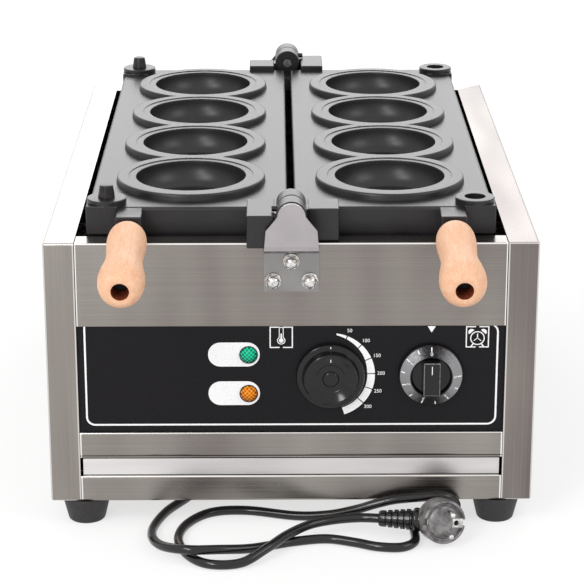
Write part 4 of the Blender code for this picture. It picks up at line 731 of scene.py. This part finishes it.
def cast_end(shape, end, pins):
    """Adds the corner boss, hinge arm and knuckle at one end of a casting, -1 or 1."""
    low, high = sorted((end * 236, end * 270))
    shape = worked(shape, block((151, low, ARM_FOOT), (178.5, high, -4), 1.2, 3), "UNION")
    spot = (BOSS_X, end * BOSS_Y, 0)
    shape = worked(shape, placed(spun(corner_boss, 56), at=spot), "UNION")
    shape = worked(shape, placed(spun(pin_bore if pins else locating_bore, 40), at=spot))
    # At -1 the knuckle lies inside the other casting's, at 1 outside it, 1.6 mm apart.
    inner = end < 0
    far = LUG_END - 1.6 if inner else LUG_END + KNUCKLE
    near = far - KNUCKLE
    low, high = sorted((end * 258, end * (far - 3)))
    arm_side = 41.2 if inner else 38.4
    shape = worked(shape, block((14.6, low, ARM_FOOT), (arm_side, high, -0.5), 1.2, 3), "UNION")
    middle = end * (near + far) / 2
    along = {"at": (0, middle, 0), "turn": (90, 0, 0)}
    shape = worked(shape, placed(spun(knuckle_barrel, 56), **along), "UNION")
    low, high = sorted((end * (near + 0.5), end * (far - 3.5)))
    shape = worked(shape, block((3, low, -29.2), (17.6, high, -1.0), 0.6), "UNION")
    shape = worked(shape, placed(spun([(0, 12), (4.9, 12), (4.9, -12), (0, -12)], 32), **along))
    if not inner:
        screw_hole = spun([(0, 15), (2.8, 15), (2.8, 8.7), (0, 8.7)], 20)
        shape = worked(shape, placed(screw_hole, at=(0, end * (near + 4.5), 2.5), turn=(0, 90, 0)))
    return shape


def cast_mould(turn, pins, handle_end):
    """One casting as a single closed shape, in its own place on the hinge."""
    shape = block((3, -266, -36), (177, 266, -6), 3, 4)
    shape = worked(shape, block((8, -261, -38), (172, 261, -11)))
    for y in CUPS_Y:
        shape = worked(shape, placed(spun(cup_rim, 96), at=(CUP_X, y, 0)), "UNION")
    shells = gathered([placed(spun(cup_shell, 72), at=(CUP_X, y, 0)) for y in CUPS_Y])
    shape = worked(shape, shells, "UNION")
    bowls = gathered([placed(spun(cup_bowl, 96), at=(CUP_X, y, 0)) for y in CUPS_Y])
    shape = worked(shape, bowls)
    for end in (-1, 1):
        shape = cast_end(shape, end, pins)
    low, high = sorted((handle_end * 263, handle_end * LUG_END))
    shape = worked(shape, block((129, low, ARM_FOOT), (151.5, high, -6.6), 1.2, 3), "UNION")
    socket = placed(spun([(0, 2), (5.3, 2), (5.3, -18), (0, -18)], 32),
                    at=(HANDLE_X, handle_end * LUG_END, HANDLE_Z),
                    turn=(-handle_end * HANDLE_TILT, 0, 0))
    shape = worked(shape, socket)
    place = Matrix.Translation(axis) @ Matrix.Rotation(math.radians(turn), 4, "Z")
    return placed(shape, under=place)


for side, turn, pins, handle_end in (("left", 180, True, 1), ("right", 0, False, -1)):
    finished(f"{side}_mould_casting", cast_mould(turn, pins, handle_end), coated_casting,
             f"{side}_mould_group", [f"{side}_mould"])

# Blackened steel: locating pins, bush screws and the nuts in the grips, worn in 5 mm patches.
blackened = speckled("blackened_steel", "#2a2829", 0.36, 220, 4, "#222021", "#373435",
                     Metallic=0.6)
dressed(blackened, "left_bush_screw", "right_bush_screw", "left_grip_nut", "right_grip_nut")

locating_pin = [(0, 10.9), (4.8, 10.9), (5.5, 10.5), (6.0, 9.7), (7.4, 0.5), (7.4, -0.1),
                (7.0, -0.1), (7.0, -11.7), (0, -11.7)]
for end, node in ((-1, "front_locating_pin"), (1, "rear_locating_pin")):
    place = Matrix.Translation(axis + Vector((-BOSS_X, end * BOSS_Y, 0)) * MM)
    finished(node + "_turned", placed(spun(locating_pin, 40), under=place), blackened,
             "left_mould_group", [node])


# Handles: two turned grips of pale beech on a steel rod, waisted for the fingers, drilled through
# and left with a thin clear varnish. Seen from the front, the mouth of the bore shows dark, with
# painted shade inside.

def smooth_line(points, steps=10):
    """A smooth line through the points, with this many short steps from each to the next."""
    line = []
    padded = [points[0] * 2 - points[1]] + points + [points[-1] * 2 - points[-2]]
    for before, start, end, after in zip(padded, padded[1:], padded[2:], padded[3:]):
        for i in range(steps):
            t = i / steps
            line.append((start * 2 + (end - before) * t
                         + (before * 2 - start * 5 + end * 4 - after) * t ** 2
                         + (start * 3 - before - end * 3 + after) * t ** 3) / 2)
    return line + [points[-1]]


# Beech in the bore, painted red brown as painted shade inside the hole: dull, with flecks of about
# 2 mm.
bore_painted_shade = speckled("beech_bore_painted_shade", "#7a3318", 0.6, 500, 3, "#64260f", "#94492a")

GRIP_RADIUS, GRIP_START, GRIP_LENGTH = 19.7, 4, 114
GRIP_END = GRIP_START + GRIP_LENGTH
grip_shares = (
    (0.00, 0.58), (0.03, 0.74), (0.09, 0.84), (0.19, 0.87), (0.32, 0.83), (0.47, 0.79),
    (0.60, 0.85), (0.72, 0.95), (0.83, 1.00), (0.92, 0.93), (0.975, 0.75), (1.00, 0.56),
)
grip_line = smooth_line([Vector((share * GRIP_RADIUS, GRIP_START + along_share * GRIP_LENGTH, 0))
                         for along_share, share in grip_shares], 4)
grip_outline = [(7.6, GRIP_END - 0.4), (8.4, GRIP_END)]
grip_outline += [(spot.x, min(spot.y, GRIP_END)) for spot in reversed(grip_line)]
grip_outline += [(5.4, GRIP_START), (5.4, 92), (7.6, 92)]
for side, turn, handle_end in (("left", 180, 1), ("right", 0, -1)):
    holder = (Matrix.Translation(axis) @ Matrix.Rotation(math.radians(turn), 4, "Z")
              @ Matrix.Translation(Vector((HANDLE_X, handle_end * LUG_END, HANDLE_Z)) * MM)
              @ Matrix.Rotation(math.radians(-handle_end * HANDLE_TILT), 4, "X"))
    # Varnished beech: pale peach, with soft growth rings about 5 mm apart and flecks of 1 by 10 mm.
    beech, shader = new_material(f"varnished_beech_{side}", "#f6d2b6", 0.55,
                                 **{"Specular IOR Level": 0.28})
    where = add_node(beech, "ShaderNodeTexCoord")
    along = add_node(beech, "ShaderNodeMapping", {
        "Vector": where.outputs["Object"], "Rotation": (math.radians(7), 0, 0),
        "Scale": (1, 0.09, 1)})
    rings = add_node(beech, "ShaderNodeTexNoise", {
        "Vector": along.outputs[0], "Scale": 210, "Detail": 4, "Distortion": 0.6})
    flecks = add_node(beech, "ShaderNodeTexNoise", {
        "Vector": along.outputs[0], "Scale": 1100, "Detail": 2})
    both = add_node(beech, "ShaderNodeMath", {
        0: rings.outputs[0], 1: flecks.outputs[0]}, operation="ADD")
    tint(beech, shader, both.outputs[0], "#e6ad87", "#f2c6a6", 0.7, 1.3)
    raise_surface(beech, shader, flecks.outputs[0], 0.02)
    shape = spun(grip_outline, 56, ring=True)
    # Faces inside the bore take the bore's painted shade.
    for face in shape.faces:
        spot = face.calc_center_median() / MM
        face.material_index = int(math.hypot(spot.x, spot.y) < 7.65 and spot.z < GRIP_END - 0.2)
    finished(f"{side}_beech_grip", placed(shape, under=holder), (beech, bore_painted_shade),
             f"{side}_mould_group", [f"{side}_grip"], smooth=50)


# Cord gland: a black nylon strain relief screwed into the rear panel. Its tapered tip is cut in
# rings, so that it bends a little with the cord.

tip = [(4.55, 32), (5.0, 32), (5.6, 31.5)]
for i in range(6):
    middle, thick = 28.6 - i * 3.4, 5.8 + 0.5 * i
    tip += [(thick, middle + 1.4), (thick - 0.8, middle + 0.9), (thick - 0.7, middle - 0.9),
            (thick + 0.2, middle - 1.3)]
flange = [(9.3, 5.2), (9.4, 4.3), (12.4, 4.3), (13, 3.7), (13, 0.3), (7, 0.3), (7, -12),
          (4.55, -12)]
gland = placed(spun(tip + flange, 40, ring=True), at=(-100, 0, 62), turn=(-90, 0, 0),
               under=Matrix.Translation((0, rear_y, 0)))
finished("strain_relief", gland, nylon, "body", ["cord_gland"])


# Mains cord: an 8.5 mm rubbery PVC flex. It leaves the gland at the back, turns on the table, runs
# forward under the machine between its feet and lies in two loops in front, up to its own plug.

# Extruded flexible PVC: near black, glossy, with a faint orange-peel skin of about 2 mm.
flex_pvc = speckled("extruded_pvc_flex", "#121113", 0.17, 500, 2, "#0d0c0d", "#181618", relief=0.03,
                    **{"Specular IOR Level": 0.5})

# The plug lies on the table with its boot at a slant, and has rolled back on the boot, so that its
# face looks up at the camera.
plug_spot = Vector((135, -48.5, 20.0)) * MM + Vector((0, front_y, 0))
upright = Matrix.Translation(plug_spot) @ Euler(
    (math.pi / 2, 0, math.radians(16))).to_matrix().to_4x4()
boot_place = upright @ Matrix.Translation((0, 0, -14 * MM)) @ Euler(
    (0, math.radians(-120), math.radians(4.6))).to_matrix().to_4x4()
rolled = boot_place @ Matrix.Rotation(math.radians(16), 4, "Z") @ boot_place.inverted()
plug_place = Matrix.Translation((0, 0, 0.5 * MM)) @ rolled @ upright
CORD_RADIUS = 4.25
cord_route = [Vector(point) * MM + Vector((0, front_y, 0)) for point in (
    (-100, 620.3, 62), (-100, 634, 61.6), (-97, 658, 55), (-84, 683, 38), (-58, 700, 18),
    (-28, 696, 6.5), (-8, 672, 4.5), (0, 630, 4.5), (2, 560, 4.5), (-2, 470, 4.5), (-10, 380, 4.5),
    (-22, 290, 4.5), (-40, 200, 4.5), (-64, 120, 4.5), (-92, 58, 4.5), (-114, 18, 4.5),
    (-124, -22, 4.5), (-116, -58, 8.5), (-92, -80, 13.9), (-62, -76, 12), (-34, -62, 6.5),
    (0, -45, 4.5), (30, -39, 4.5), (54, -46, 4.5), (74, -55, 4.5), (92, -57.5, 4.5),
    (102.3, -53.6, 4.5), (108.3, -45.2, 4.5), (109.6, -34, 4.5), (109.4, -21, 4.5),
    (111.2, -8, 4.5), (119, 3, 4.5), (130.5, 6.5, 4.5), (139.3, 5.2, 6.4), (145.6, 1.9, 11.7),
    (147.8, -2.4, 18.7), (145.6, -6.7, 26), (139.3, -10, 31.2), (130.5, -11, 33),
    (117, -10, 31.6), (104, -9, 30),
    (90, -8, 27.8), (74, -6.6, 23), (58, -4.4, 17), (34, 1, 9.5), (4, 9, 5), (-40, 22, 4.5),
    (-72, 18, 4.5), (-93, -6, 4.5), (-100, -38, 4.5), (-91, -70, 4.5), (-72, -89, 4.5),
    (-44, -88, 5), (-22, -72, 11), (-4, -51, 14), (16, -31, 14.4), (38, -20.6, 14.4),
    (60, -17.6, 14.9),
)] + [boot_place @ Vector((0, 0, 55.3 * MM))]

flex_line = smooth_line(cord_route)
flex_curve = bpy.data.curves.new("mains_cord", "CURVE")
flex_curve.dimensions = "3D"
flex_curve.bevel_depth, flex_curve.bevel_resolution = CORD_RADIUS * MM, 4
flex_curve.use_fill_caps = True
spline = flex_curve.splines.new("POLY")
spline.points.add(len(flex_line) - 1)
for point, spot in zip(spline.points, flex_line):
    point.co = (*spot, 1)
spline.use_smooth = True
flex_curve.materials.append(flex_pvc)
mains_cord = bpy.data.objects.new("mains_cord", flex_curve)
scene.collection.objects.link(mains_cord)
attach(mains_cord, "body")
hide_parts("power_cord")


# Mains plug: a round earthed plug, moulded in warm grey PVC, with a black ribbed boot at an angle,
# two round pins, side earth clips and a bright contact with a socket for an earth pin.

# Moulded PVC: warm grey, glossy, slightly cloudy, with a fine grain drawn here at 0.8 mm.
plug_pvc, shader = new_material("moulded_pvc_plug", "#6f6b6d", 0.24, **{"Specular IOR Level": 0.6})
where = add_node(plug_pvc, "ShaderNodeTexCoord")
cloud = add_node(plug_pvc, "ShaderNodeTexNoise", {
    "Vector": where.outputs["Object"], "Scale": 150, "Detail": 3})
tint(plug_pvc, shader, cloud.outputs[0], "#535053", "#8a8686", 0.36, 0.64)
grain = add_node(plug_pvc, "ShaderNodeTexNoise", {
    "Vector": where.outputs["Object"], "Scale": 1200, "Detail": 2})
raise_surface(plug_pvc, shader, grain.outputs[0], 0.02)

# The face is a raised pad inside a groove, with a land for the earth contact on its right.
SOCKET_X, PIN_OFFSET = 9.9, 9.5
pad = [(0, 0), (10.2, 0), (12.4, -0.3), (14.0, -1.1), (14.9, -2.2), (15.2, -3.2), (16.2, -3.2),
       (16.5, -2.4)]
rim = [(16.9, -1.5), (17.6, -1.0), (18.5, -1.2), (19.3, -2.0), (19.7, -3.4)]
dome = [(19.7, -19), (19.0, -21.6), (17.4, -24.2), (14.6, -26.4), (10.4, -27.6), (5, -28), (0, -28)]
shape = spun(pad + rim + dome, 64)
shape = worked(shape, block((4.2, -4.9, -8), (16.6, 4.9, 0.2), 0.5), "UNION")
for middle in (-18.6, 18.6):
    shape = worked(shape, block((middle - 3.4, -3, -9), (middle + 3.4, 3, 2)))
socket = placed(spun([(0, 1), (2.5, 1), (2.5, -9), (0, -9)], 24), at=(SOCKET_X, 0, 0))
shape = worked(shape, socket)
plug_shell = finished("plug_shell", placed(shape, under=plug_place), plug_pvc, "body",
                      ["plug"])

boot = [(0, 55), (5.6, 55), (6.6, 54.6), (7.0, 53.8)]
for i in range(5):
    middle, thick = 49.6 - i * 5.6, 7.4 + 0.5 * i
    boot += [(thick, middle + 2.3), (thick, middle - 1.0), (thick - 1.5, middle - 1.5),
             (thick - 1.4, middle - 2.7)]
boot += [(9.6, 23.4), (10.6, 22.4), (10.9, 20.6), (10.4, 18.4), (10.0, 17.4), (10.4, 12), (0, 12)]
boot_pieces = finished("plug_boot", placed(spun(boot, 48), under=boot_place), flex_pvc, "body")

pin_outline = [(0, 19), (1.2, 18.8), (2.0, 18.1), (2.4, 17.0), (2.4, 0.3), (0, 0.3)]
pins = []
for side, node in ((-1, "plug_pin_lower"), (1, "plug_pin_upper")):
    shape = placed(spun(pin_outline, 24), at=(0, side * PIN_OFFSET, 0), under=plug_place)
    pins.append(finished(node + "_turned", shape, nickel, "body", [node]))
contact = worked(block((6.4, -3.9, 0.1), (15.9, 3.9, 0.6), 0.2),
                 placed(spun([(0, 2), (2.3, 2), (2.3, -1), (0, -1)], 24), at=(SOCKET_X, 0, 0)))
clips = [block((middle - 0.4, -2.2, -8.5), (middle + 0.4, 2.2, -2.2), 0.25)
         for middle in (-15.6, 15.6)]
earth_clips = finished("plug_earth_clips", placed(gathered([contact] + clips), under=plug_place),
                       nickel, "body")
